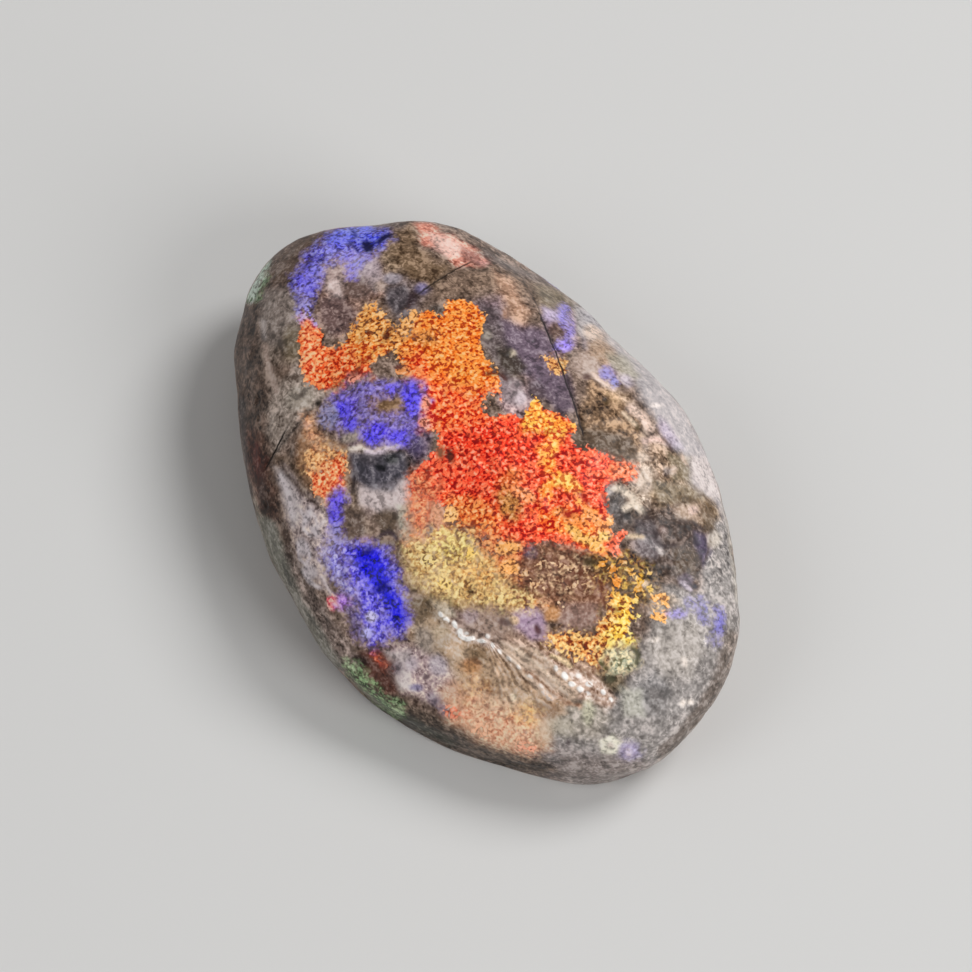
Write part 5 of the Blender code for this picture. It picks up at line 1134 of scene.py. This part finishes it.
# -- colours, laid out on the sketch grid
grid = np.stack([U, V, 0 * U], 1)
cu = U + 3.6 * noise(grid, 20.0, 21) + 3.0 * noise(grid, 9.0, 22) + 1.8 * noise(grid, 4.5, 23)
cv = V + 3.6 * noise(grid, 20.0, 24) + 3.0 * noise(grid, 9.0, 25) + 1.8 * noise(grid, 4.5, 26)


def cast(tone, contrast=ZONE_CONTRAST, warmth=1.0):
    tone, centre = np.array(tone, float), np.array(POTCH_CENTRE)
    away = tone - centre
    grey = away.mean()
    return np.clip(centre + grey * contrast + (away - grey) * ZONE_COLOUR, 0, 255) * np.array(POTCH_CAST) ** warmth


def toned(row):
    """Middle, light and dark tones of a zone, the outer two pushed apart."""
    middle = cast(row[0])
    row = (middle, cast(row[1]), cast(row[2]))
    spread = [middle, middle + (np.array(row[1]) - middle) * TONE_SPREAD, middle + (np.array(row[2]) - middle) * TONE_SPREAD]
    return [linear(np.clip(tone, 0, 255)) for tone in spread]


def opened(middle, light, dark):
    """Middle, light and dark tones of a fire zone, the outer two pushed apart."""
    middle = np.array(middle, float)
    return [np.clip(middle + (np.array(tone) - middle) * FIRE_SPREAD, 0, 255) for tone in (middle, light, dark)]


def vivid(tone):
    """Play of colour is purer than the potch: tones pushed away from their grey."""
    tone = np.array(tone, float)
    shade = FIRE_CAST if tone[0] >= max(tone[1], tone[2]) else COOL_CAST
    return linear(np.clip(tone.mean() + (tone - tone.mean()) * FIRE_VIVID, 0, 255) * np.array(shade))


body = [np.tile(tone, (count, 1)) for tone in toned(POTCH)]
for name, shape, middle, light, dark, strength, soft in BODY:
    w = (smooth(soft, -soft, shape(cu, cv)) * strength)[:, None]
    for n, tone in enumerate(toned((middle, light, dark))):
        body[n] = body[n] * (1 - w) + tone * w
du = U + 1.6 * noise(grid, 11.0, 51) + 1.0 * noise(grid, 4.5, 52)
dv = V + 1.6 * noise(grid, 11.0, 53) + 1.0 * noise(grid, 4.5, 54)
for shape, tone, strength, soft in DETAIL:
    w = (smooth(soft, -soft, shape(du, dv)) * strength)[:, None]
    tone = cast(tone, 1.22, 0.45)
    for n, shade in enumerate((tone, tone + (255 - tone) * 0.26, tone * 0.70)):
        body[n] = body[n] * (1 - w) + linear(shade) * w
fire = [np.tile(linear(tone), (count, 1)) for tone in ((200, 120, 90), (230, 160, 130), (120, 60, 40))]
density = np.zeros(count)
velvet = np.zeros(count)              # 1 where the colour lies deeper and shows as a soft bloom
# tints are looked up a fleck or two away, so neighbouring colours interlock
tu = cu + 9.0 * noise(grid, 6.5, 31)
tv = cv + 9.0 * noise(grid, 6.5, 32)
for name, shape, middle, light, dark, dense, soft in FIRE:
    away = shape(cu, cv)
    wide = soft * 1.1 + 3.5
    w = smooth(wide, -wide, away)
    tint = smooth(soft + 3.0, -soft - 1.0, shape(tu, tv))[:, None]
    if dense > 0.3:
        # colour reaches a little past the flecks it belongs to
        reach = smooth(wide + 8.0, 2.0, away)[:, None]
        own = np.maximum(reach * (density[:, None] < 0.04), tint)
        for n, tone in enumerate(opened(middle, light, dark)):
            fire[n] = fire[n] * (1 - own) + vivid(tone) * own
    density = density * (1 - w) + dense * w
    if dense > 0.3:
        cool = max(middle[1], middle[2]) > middle[0]
        deeper = 1.0 if cool else min(max((0.88 - dense) / 0.35, 0.0), 0.8)
        around = smooth(wide + 6.0, 0.0, away)
        velvet = velvet * (1 - around) + deeper * around

for shape, tone, dense, soft in SPARKS:
    away = shape(du, dv)
    w = smooth(soft + 1.0, -soft - 1.0, away)
    own = smooth(soft + 3.0, 0.5, away)[:, None]
    tone = np.array(tone, float)
    for n, shade in enumerate((tone, tone + (255 - tone) * 0.22, tone * 0.60)):
        fire[n] = fire[n] * (1 - own) + vivid(shade) * own
    density = np.maximum(density * (1 - w), density * (1 - w) + dense * w)
    velvet = velvet * (1 - own[:, 0]) + (1.0 if max(tone[1], tone[2]) > tone[0] else 0.0) * own[:, 0]

streaky = np.zeros(count)
for name, shape, amount, soft in STREAKY:
    w = smooth(soft, -soft, shape(cu, cv)) * front
    streaky = np.maximum(streaky, w * amount)

# -- the sides, the back and the underside
away = (1 - front)[:, None]
skin = [np.tile(tone, (count, 1)) for tone in toned(PLAIN_SKIN)]
stained = smooth(-0.05, 0.35, noise(P, 5.2, 101) + 0.35 * noise(P, 1.6, 102))
paled = smooth(0.10, 0.45, noise(P, 4.4, 103) + 0.35 * noise(P, 1.4, 104)) * smooth(1.6, 2.8, P[:, 2])
olived = smooth(0.10, 0.45, noise(P, 3.6, 105) + 0.30 * noise(P, 1.2, 106))
# on the flank under the pale bevel its pale tone, painted light included, runs down the wall, paler higher up
flank = np.degrees(np.arctan2(P[:, 1], P[:, 0])) + 9.0 * noise(P, 2.6, 123)
flank = smooth(-30, 8, flank) * smooth(118, 84, flank)
flank_painted_light = smooth(0.7, 2.5, P[:, 2] + 1.9 * noise(P, 2.3, 121) + 0.8 * noise(P, 0.8, 122)) * flank
for share, tones in ((olived * 0.75, OLIVE_SKIN), (paled * 0.85, PALE_SKIN), (stained * 0.85, IRON_SKIN), (flank_painted_light * 0.80, PALE_FLANK_PAINTED_LIGHT)):
    for n, tone in enumerate(toned(tones)):
        skin[n] = skin[n] * (1 - share[:, None]) + tone * share[:, None]
shade = 1.0 + 0.20 * noise(P, 3.4, 61)[:, None] + 0.16 * noise(P * np.array([1.0, 0.55, 1.6]), 1.2, 62)[:, None]
for n in range(3):
    body[n] = body[n] * (1 - away) + skin[n] * shade * away

azimuth = np.degrees(np.arctan2(P[:, 1], P[:, 0]))
wave = 1.0 * noise(P, 3.6, 111) + 0.40 * noise(P, 1.1, 112)
broken = smooth(-0.22, 0.18, noise(P, 1.5, 115) + 0.5 * noise(P, 0.6, 116))
swing_az = azimuth + 5.0 * noise(P, 2.0, 113)
back_density = np.zeros(count)
back_velvet = np.zeros(count)
back_fire = [np.tile(vivid(tone), (count, 1)) for tone in ((200, 120, 90), (230, 160, 130), (120, 60, 40))]


def add_back(w, middle, light, dark, dense):
    global back_density, back_velvet
    own = smooth(0.0, 0.25, w)[:, None]
    for n, tone in enumerate((middle, light, dark)):
        back_fire[n] = back_fire[n] * (1 - own) + vivid(tone) * own
    soft = 1.0 if max(middle[1], middle[2]) > middle[0] else min(max((0.88 - dense) / 0.35, 0.0), 0.8)
    back_velvet = back_velvet * (1 - own[:, 0]) + soft * own[:, 0]
    back_density = np.maximum(back_density, dense * w)


for azimuth_mid, spread, height, thick, middle, light, dark, dense in SEAMS:
    turn_away = np.abs((swing_az - azimuth_mid + 180) % 360 - 180) / spread
    off = np.abs(P[:, 2] - height + wave) / thick
    add_back(smooth(1.35, 0.25, np.hypot(turn_away, off)) * broken, middle, light, dark, dense)
for x, y, long, wide, turn, middle, light, dark, dense in UNDER_SPOTS:
    t = math.radians(turn)
    dx, dy = P[:, 0] - x + wave, P[:, 1] - y - wave
    r = np.hypot((dx * math.cos(t) + dy * math.sin(t)) / long, (dy * math.cos(t) - dx * math.sin(t)) / wide)
    add_back(smooth(1.3, 0.5, r) * smooth(1.2, 0.6, P[:, 2]) * (0.4 + 0.6 * broken), middle, light, dark, dense)
for n in range(3):
    fire[n] = fire[n] * (1 - away) + back_fire[n] * away
density = density * front + back_density * (1 - front)
velvet = velvet * front + back_velvet * (1 - front)


def put_colour(name, values):
    layer = mesh.attributes.new(name, "FLOAT_COLOR", "POINT")
    data = np.ones((count, 4), np.float32)
    data[:, :3] = values
    layer.data.foreach_set("color", data.ravel())


def put_number(name, values):
    layer = mesh.attributes.new(name, "FLOAT", "POINT")
    layer.data.foreach_set("value", values.astype(np.float32))


for n, tone in enumerate(("middle", "light", "dark")):
    put_colour("body_" + tone, np.clip(body[n], 0, 1))
    put_colour("fire_" + tone, np.clip(fire[n], 0, 1))
put_colour("mark_colour", mark_colour)
put_number("fire_density", density)
put_number("dark_mark", marks)
put_number("streaky", streaky)
put_number("joint_a", joint_a)
put_number("joint_b", joint_b)
put_number("painted_glint", painted_glint)
put_number("velvet", velvet)
put_number("striae", striae)

# -- one disc for the upper half, one for the lower half
corner_vertex = np.empty(len(mesh.loops), np.int32)
mesh.loops.foreach_get("vertex_index", corner_vertex)
upper = np.array([0.0])
poly_of_loop = np.repeat(np.arange(len(mesh.polygons)), 3)
tri = corner_vertex.reshape(-1, 3)
upper_face = unit[tri].mean(axis=1)[:, 2] > 0
flat = np.arctan2(unit[:, 1], unit[:, 0])
swing = np.arccos(np.clip(np.abs(unit[:, 2]), 0, 1)) / (math.pi / 2)
corner_upper = upper_face[poly_of_loop]
signed_swing = np.arccos(np.clip(np.where(corner_upper, unit[corner_vertex, 2], -unit[corner_vertex, 2]), -1, 1)) / (math.pi / 2)
uv = np.empty((len(corner_vertex), 2), np.float32)
uv[:, 0] = np.where(corner_upper, 0.25, 0.75) + 0.235 * signed_swing * np.cos(flat[corner_vertex])
uv[:, 1] = 0.5 + 0.47 * signed_swing * np.sin(flat[corner_vertex])
layer = mesh.uv_layers.new(name="OFBake")
layer.uv.foreach_set("vector", uv.ravel())


# ------------------------------------------------------------------ material
def stone_material():
    m = bpy.data.materials.new("opal_stone_surface")
    m.use_nodes = True
    t = m.node_tree
    t.nodes.clear()
    out = t.nodes.new("ShaderNodeOutputMaterial")
    shader = t.nodes.new("ShaderNodeBsdfPrincipled")
    t.links.new(shader.outputs[0], out.inputs[0])
    where = t.nodes.new("ShaderNodeTexCoord").outputs["Object"]

    def attribute(name, output="Color"):
        n = t.nodes.new("ShaderNodeAttribute")
        n.attribute_name = name
        return n.outputs[output]

    def grain(per_mm, detail=2.0, rough=0.5, distortion=0.0, offset=0.0, source=None):
        n = t.nodes.new("ShaderNodeTexNoise")
        n.inputs["Scale"].default_value = per_mm * 1000
        n.inputs["Detail"].default_value = detail
        n.inputs["Roughness"].default_value = rough
        n.inputs["Distortion"].default_value = distortion
        if offset:
            mp = t.nodes.new("ShaderNodeMapping")
            mp.inputs["Location"].default_value = (offset * MM, offset * MM * 0.7, -offset * MM)
            t.links.new(source or where, mp.inputs["Vector"])
            t.links.new(mp.outputs[0], n.inputs["Vector"])
        else:
            t.links.new(where, n.inputs["Vector"])
        return n.outputs["Fac"]

    def cells(per_mm, seed, source, wander):
        # rounded cells: distance from the cell's middle, and a chance value for the cell
        shift = t.nodes.new("ShaderNodeTexNoise")
        shift.inputs["Scale"].default_value = per_mm * 900
        shift.inputs["Detail"].default_value = 1.0
        t.links.new(source, shift.inputs["Vector"])
        moved = t.nodes.new("ShaderNodeVectorMath")
        moved.operation = "MULTIPLY_ADD"
        t.links.new(shift.outputs["Color"], moved.inputs[0])
        moved.inputs[1].default_value = (wander * MM,) * 3
        t.links.new(source, moved.inputs[2])
        placed = t.nodes.new("ShaderNodeVectorMath")
        placed.operation = "ADD"
        t.links.new(moved.outputs[0], placed.inputs[0])
        placed.inputs[1].default_value = (seed * MM, seed * MM * 0.6, -seed * MM)
        n = t.nodes.new("ShaderNodeTexVoronoi")
        n.feature = "F1"
        n.inputs["Scale"].default_value = per_mm * 1000
        t.links.new(placed.outputs[0], n.inputs["Vector"])
        chance = t.nodes.new("ShaderNodeSeparateColor")
        t.links.new(n.outputs["Color"], chance.inputs[0])
        return n.outputs["Distance"], chance.outputs[0]

    def maths(kind, a, b=0.0, c=0.0, clamp=False):
        n = t.nodes.new("ShaderNodeMath")
        n.operation = kind
        n.use_clamp = clamp
        for i, v in enumerate((a, b, c)):
            if hasattr(v, "default_value") or hasattr(v, "links"):
                t.links.new(v, n.inputs[i])
            else:
                n.inputs[i].default_value = v
        return n.outputs[0]

    def span(value, low, high, to_low=0.0, to_high=1.0, smooth_step=True):
        n = t.nodes.new("ShaderNodeMapRange")
        n.interpolation_type = "SMOOTHSTEP" if smooth_step else "LINEAR"
        t.links.new(value, n.inputs["Value"])
        for key, v in (("From Min", low), ("From Max", high), ("To Min", to_low), ("To Max", to_high)):
            n.inputs[key].default_value = v
        return n.outputs[0]

    def mix(factor, a, b, kind="MIX"):
        n = t.nodes.new("ShaderNodeMix")
        n.data_type = "RGBA"
        n.blend_type = kind
        n.clamp_result = True
        for socket, v in ((n.inputs[0], factor), (n.inputs[6], a), (n.inputs[7], b)):
            if hasattr(v, "links"):
                t.links.new(v, socket)
            elif socket.type == "RGBA":
                socket.default_value = (*v, 1.0)
            else:
                socket.default_value = v
        return n.outputs[2]

    def gamma(colour, power):
        n = t.nodes.new("ShaderNodeGamma")
        t.links.new(colour, n.inputs[0])
        n.inputs[1].default_value = power
        return n.outputs[0]

    tones = {kind: [attribute(kind + "_" + tone) for tone in ("middle", "light", "dark")] for kind in ("body", "fire")}
    dense = attribute("fire_density", "Fac")
    mark = attribute("dark_mark", "Fac")

    def flecked(kind, value, low, middle_low, middle_high, high):
        middle, light, dark = tones[kind]
        return mix(span(value, middle_high, high, smooth_step=False), mix(span(value, low, middle_low, smooth_step=False), dark, middle), light)

    def along(azimuth, stretch):
        n = t.nodes.new("ShaderNodeMapping")
        n.vector_type = "TEXTURE"
        n.inputs["Rotation"].default_value = (0.0, 0.0, math.radians(azimuth))
        n.inputs["Scale"].default_value = (stretch, 1.0, 1.0)
        t.links.new(where, n.inputs["Vector"])
        return n.outputs[0]

    def ridged(value, width):
        # 1 on the lines where the noise crosses its middle, 0 away from them
        n = maths("ABSOLUTE", maths("SUBTRACT", value, 0.5))
        return span(n, width, 0.0)

    def blend(factor, a, b):
        return maths("MULTIPLY_ADD", factor, maths("SUBTRACT", b, a), a)

    def centred(value, gain):
        return maths("MULTIPLY", maths("SUBTRACT", value, 0.5), gain)

    run = along(257.0, 1.45)
    drawn = along(276.0, 2.2)
    streak = attribute("streaky", "Fac")
    cloud = grain(0.9, 2.5, 0.55, 0.2)
    blotch = blend(streak, grain(2.1, 2.0, 0.55, 0.3, 3.0), grain(2.6, 1.5, 0.5, 0.3, 13.0, source=drawn))
    lump = blend(streak, grain(5.2, 0.6, 0.5, 0.25, 5.0, source=run), grain(6.4, 0.6, 0.5, 0.25, 17.0, source=drawn))
    crumb = grain(9.5, 0.0, 0.5, 0.3, 9.0)
    grit, grit_chance = cells(4.6, 31.0, run, 0.16)
    bead, bead_chance = cells(5.6, 53.0, where, 0.14)
    worm = grain(7.2, 0.0, 0.5, 0.7, 7.0)
    tint = grain(2.6, 1.0, 0.5, 0.6, 23.0)
    thread = ridged(grain(3.9, 1.0, 0.5, 0.6, 29.0, source=run), 0.065)
    edge = grain(2.2, 2.0, 0.6, 0.4, 11.0)

    # potch: slow clouding, then soft lumps and crumbs of paler and darker stone
    body_value = maths("ADD", centred(cloud, 0.60), centred(blotch, 0.95))
    body_value = maths("ADD", body_value, centred(lump, 0.66))
    body_value = maths("ADD", body_value, centred(crumb, 0.58))
    body_value = maths("ADD", body_value, maths("MULTIPLY", maths("SUBTRACT", 0.46, grit), 0.22))
    body_value = maths("ADD", body_value, centred(grit_chance, 0.10))
    body_value = maths("ADD", body_value, maths("MULTIPLY", attribute("striae", "Fac"), 0.16))
    body_value = maths("ADD", body_value, maths("MULTIPLY", maths("MULTIPLY", maths("SUBTRACT", thread, 0.26), 0.24), span(edge, 0.42, 0.60, 0.25, 1.0)))
    body_value = maths("ADD", body_value, 0.5)
    potch = flecked("body", body_value, 0.18, 0.48, 0.51, 0.78)

    # play of colour: grains with a bright middle, deep short gaps between them
    fire_value = maths("ADD", maths("MULTIPLY", maths("SUBTRACT", 0.50, bead), 0.40), 0.5)
    fire_value = maths("ADD", maths("ADD", fire_value, centred(worm, 0.85)), centred(crumb, 0.38))
    fleck = flecked("fire", fire_value, 0.34, 0.49, 0.52, 0.70)
    middle, light, dark = tones["fire"]
    fleck = mix(maths("MULTIPLY", span(bead_chance, 0.45, 0.95), 0.55), fleck, light)
    fleck = mix(maths("MULTIPLY", span(bead_chance, 0.40, 0.0), 0.25), fleck, dark)
    fleck = mix(maths("MULTIPLY", span(tint, 0.52, 0.66), 0.25), fleck, light)
    hot = mix(0.42, light, (1.0, 0.86, 0.66))
    hottest = maths("MULTIPLY", span(fire_value, 0.60, 0.80), blend(attribute("velvet", "Fac"), 0.62, 0.12))
    fleck = mix(hottest, fleck, hot)
    deep = mix(1.0, dark, (0.72, 0.45, 0.42), "MULTIPLY")
    deepest = blend(attribute("velvet", "Fac"), 0.80, 0.22)
    fleck = mix(maths("MULTIPLY", span(fire_value, 0.42, 0.32), deepest), fleck, deep)
    ragged = maths("ADD", centred(worm, 1.6), centred(edge, 1.7))
    ragged = maths("ADD", ragged, maths("MULTIPLY", maths("SUBTRACT", 0.50, bead), 0.45))
    ragged = maths("MULTIPLY", ragged, span(dense, 0.0, 0.22))
    crisp = span(maths("ADD", maths("MULTIPLY", dense, 2.1), ragged), 0.86, 1.24)
    bloom = maths("ADD", maths("MULTIPLY", dense, 1.15), maths("MULTIPLY", ragged, 0.40))
    bloom = span(bloom, 0.05, 1.0, smooth_step=False)
    colour = mix(blend(attribute("velvet", "Fac"), crisp, bloom), potch, fleck)
    colour = mix(mark, colour, attribute("mark_colour"))

    def hairline(plane, strength, width, tone, colour):
        # thin dark line where the surface meets a joint plane
        normal, offset = plane
        n = t.nodes.new("ShaderNodeVectorMath")
        n.operation = "DOT_PRODUCT"
        t.links.new(where, n.inputs[0])
        n.inputs[1].default_value = tuple(normal)
        moved = offset + float(normal[0]) * AXIS_SHIFT[0] + float(normal[1]) * AXIS_SHIFT[1]
        off = maths("SUBTRACT", n.outputs["Value"], moved * MM)
        off = maths("ADD", off, maths("MULTIPLY", maths("SUBTRACT", cloud, 0.5), 0.00016))
        off = maths("ADD", off, maths("MULTIPLY", maths("SUBTRACT", lump, 0.5), 0.00008))
        line = span(maths("ABSOLUTE", off), width * MM, width * MM * 0.3)
        line = maths("MULTIPLY", line, strength)
        return mix(line, colour, tone), line

    colour, line_a = hairline(planes[0], attribute("joint_a", "Fac"), 0.055, tuple(linear((34, 24, 18))), colour)
    colour, line_b = hairline(planes[1], attribute("joint_b", "Fac"), 0.050, tuple(linear((44, 38, 40))), colour)
    # painted highlight: near-white laid into the base colour along the crests, with the roughness lowered there
    painted_shine = maths("MULTIPLY", attribute("painted_glint", "Fac"), span(lump, 0.28, 0.42))
    colour = mix(painted_shine, colour, tuple(linear((255, 252, 248))))
    t.links.new(colour, shader.inputs["Base Color"])

    rough = span(cloud, 0.35, 0.65, 0.52, 0.38, False)
    rough = maths("ADD", rough, maths("MULTIPLY", mark, 0.3))
    rough = maths("SUBTRACT", rough, maths("MULTIPLY", painted_shine, 0.28), clamp=True)
    t.links.new(rough, shader.inputs["Roughness"])
    shader.inputs["IOR"].default_value = 1.45
    shader.inputs["Specular IOR Level"].default_value = 0.27
    shader.inputs["Coat Weight"].default_value = 0.04
    shader.inputs["Coat Roughness"].default_value = 0.18

    height = maths("ADD", maths("MULTIPLY", lump, 0.6), maths("MULTIPLY", crumb, 0.4))
    bump = t.nodes.new("ShaderNodeBump")
    bump.inputs["Strength"].default_value = 0.35
    bump.inputs["Distance"].default_value = 0.00003
    t.links.new(height, bump.inputs["Height"])
    t.links.new(bump.outputs[0], shader.inputs["Normal"])
    return m


stone = bpy.data.objects.new("opal_surface", mesh)
bpy.context.scene.collection.objects.link(stone)
stone.data.materials.append(stone_material())
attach(stone, "root")
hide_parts("opal")


# ------------------------------------------------------------------ stage
floor_mesh = bpy.data.meshes.new("floor")
floor_mesh.from_pydata([(-1.5, -1.5, 0), (1.5, -1.5, 0), (1.5, 1.5, 0), (-1.5, 1.5, 0)], [], [(0, 1, 2, 3)])
floor = bpy.data.objects.new("floor", floor_mesh)
bpy.context.scene.collection.objects.link(floor)
pale = bpy.data.materials.new("pale_floor")
pale.use_nodes = True
pale.node_tree.nodes["Principled BSDF"].inputs["Base Color"].default_value = (0.66, 0.655, 0.645, 1)
pale.node_tree.nodes["Principled BSDF"].inputs["Roughness"].default_value = 0.8
pale.node_tree.nodes["Principled BSDF"].inputs["Specular IOR Level"].default_value = 0.2
floor_mesh.materials.append(pale)


def area_light(name, azimuth, elevation, distance, size, power):
    a, e = math.radians(azimuth), math.radians(elevation)
    data = bpy.data.lights.new(name, "AREA")
    data.shape = "DISK"
    data.size = size
    data.energy = power
    light = bpy.data.objects.new(name, data)
    spot = Vector((math.cos(a) * math.cos(e), math.sin(a) * math.cos(e), math.sin(e))) * distance
    light.location = spot
    light.rotation_euler = (-spot).to_track_quat("-Z", "Y").to_euler()
    bpy.context.scene.collection.objects.link(light)


# azimuths are measured from +X; the sketch's right is -40, its far side 50
area_light("key", -12, 46, 0.36, 0.16, 0.73)
area_light("fill", 170, 40, 0.40, 0.26, 0.28)
area_light("front_soft", 278, 30, 0.45, 0.24, 0.95)

world_settings = bpy.data.worlds.new("studio")
world_settings.use_nodes = True
world_settings.node_tree.nodes["Background"].inputs[0].default_value = (1.0, 1.0, 1.0, 1)
world_settings.node_tree.nodes["Background"].inputs[1].default_value = 0.25
bpy.context.scene.world = world_settings
bpy.context.scene.view_settings.view_transform = "Standard"

camera_data = bpy.data.cameras.new("camera")
camera_data.lens = 180.0
camera_data.sensor_width = 36.0
camera_data.clip_start = 0.01
camera = bpy.data.objects.new("camera", camera_data)
place = Matrix((
    (RIGHT[0], ABOVE[0], -AHEAD[0], (EYE[0] + AXIS_SHIFT[0]) * MM),
    (RIGHT[1], ABOVE[1], -AHEAD[1], (EYE[1] + AXIS_SHIFT[1]) * MM),
    (RIGHT[2], ABOVE[2], -AHEAD[2], EYE[2] * MM),
    (0, 0, 0, 1),
))
camera.matrix_world = place
bpy.context.scene.collection.objects.link(camera)
bpy.context.scene.camera = camera
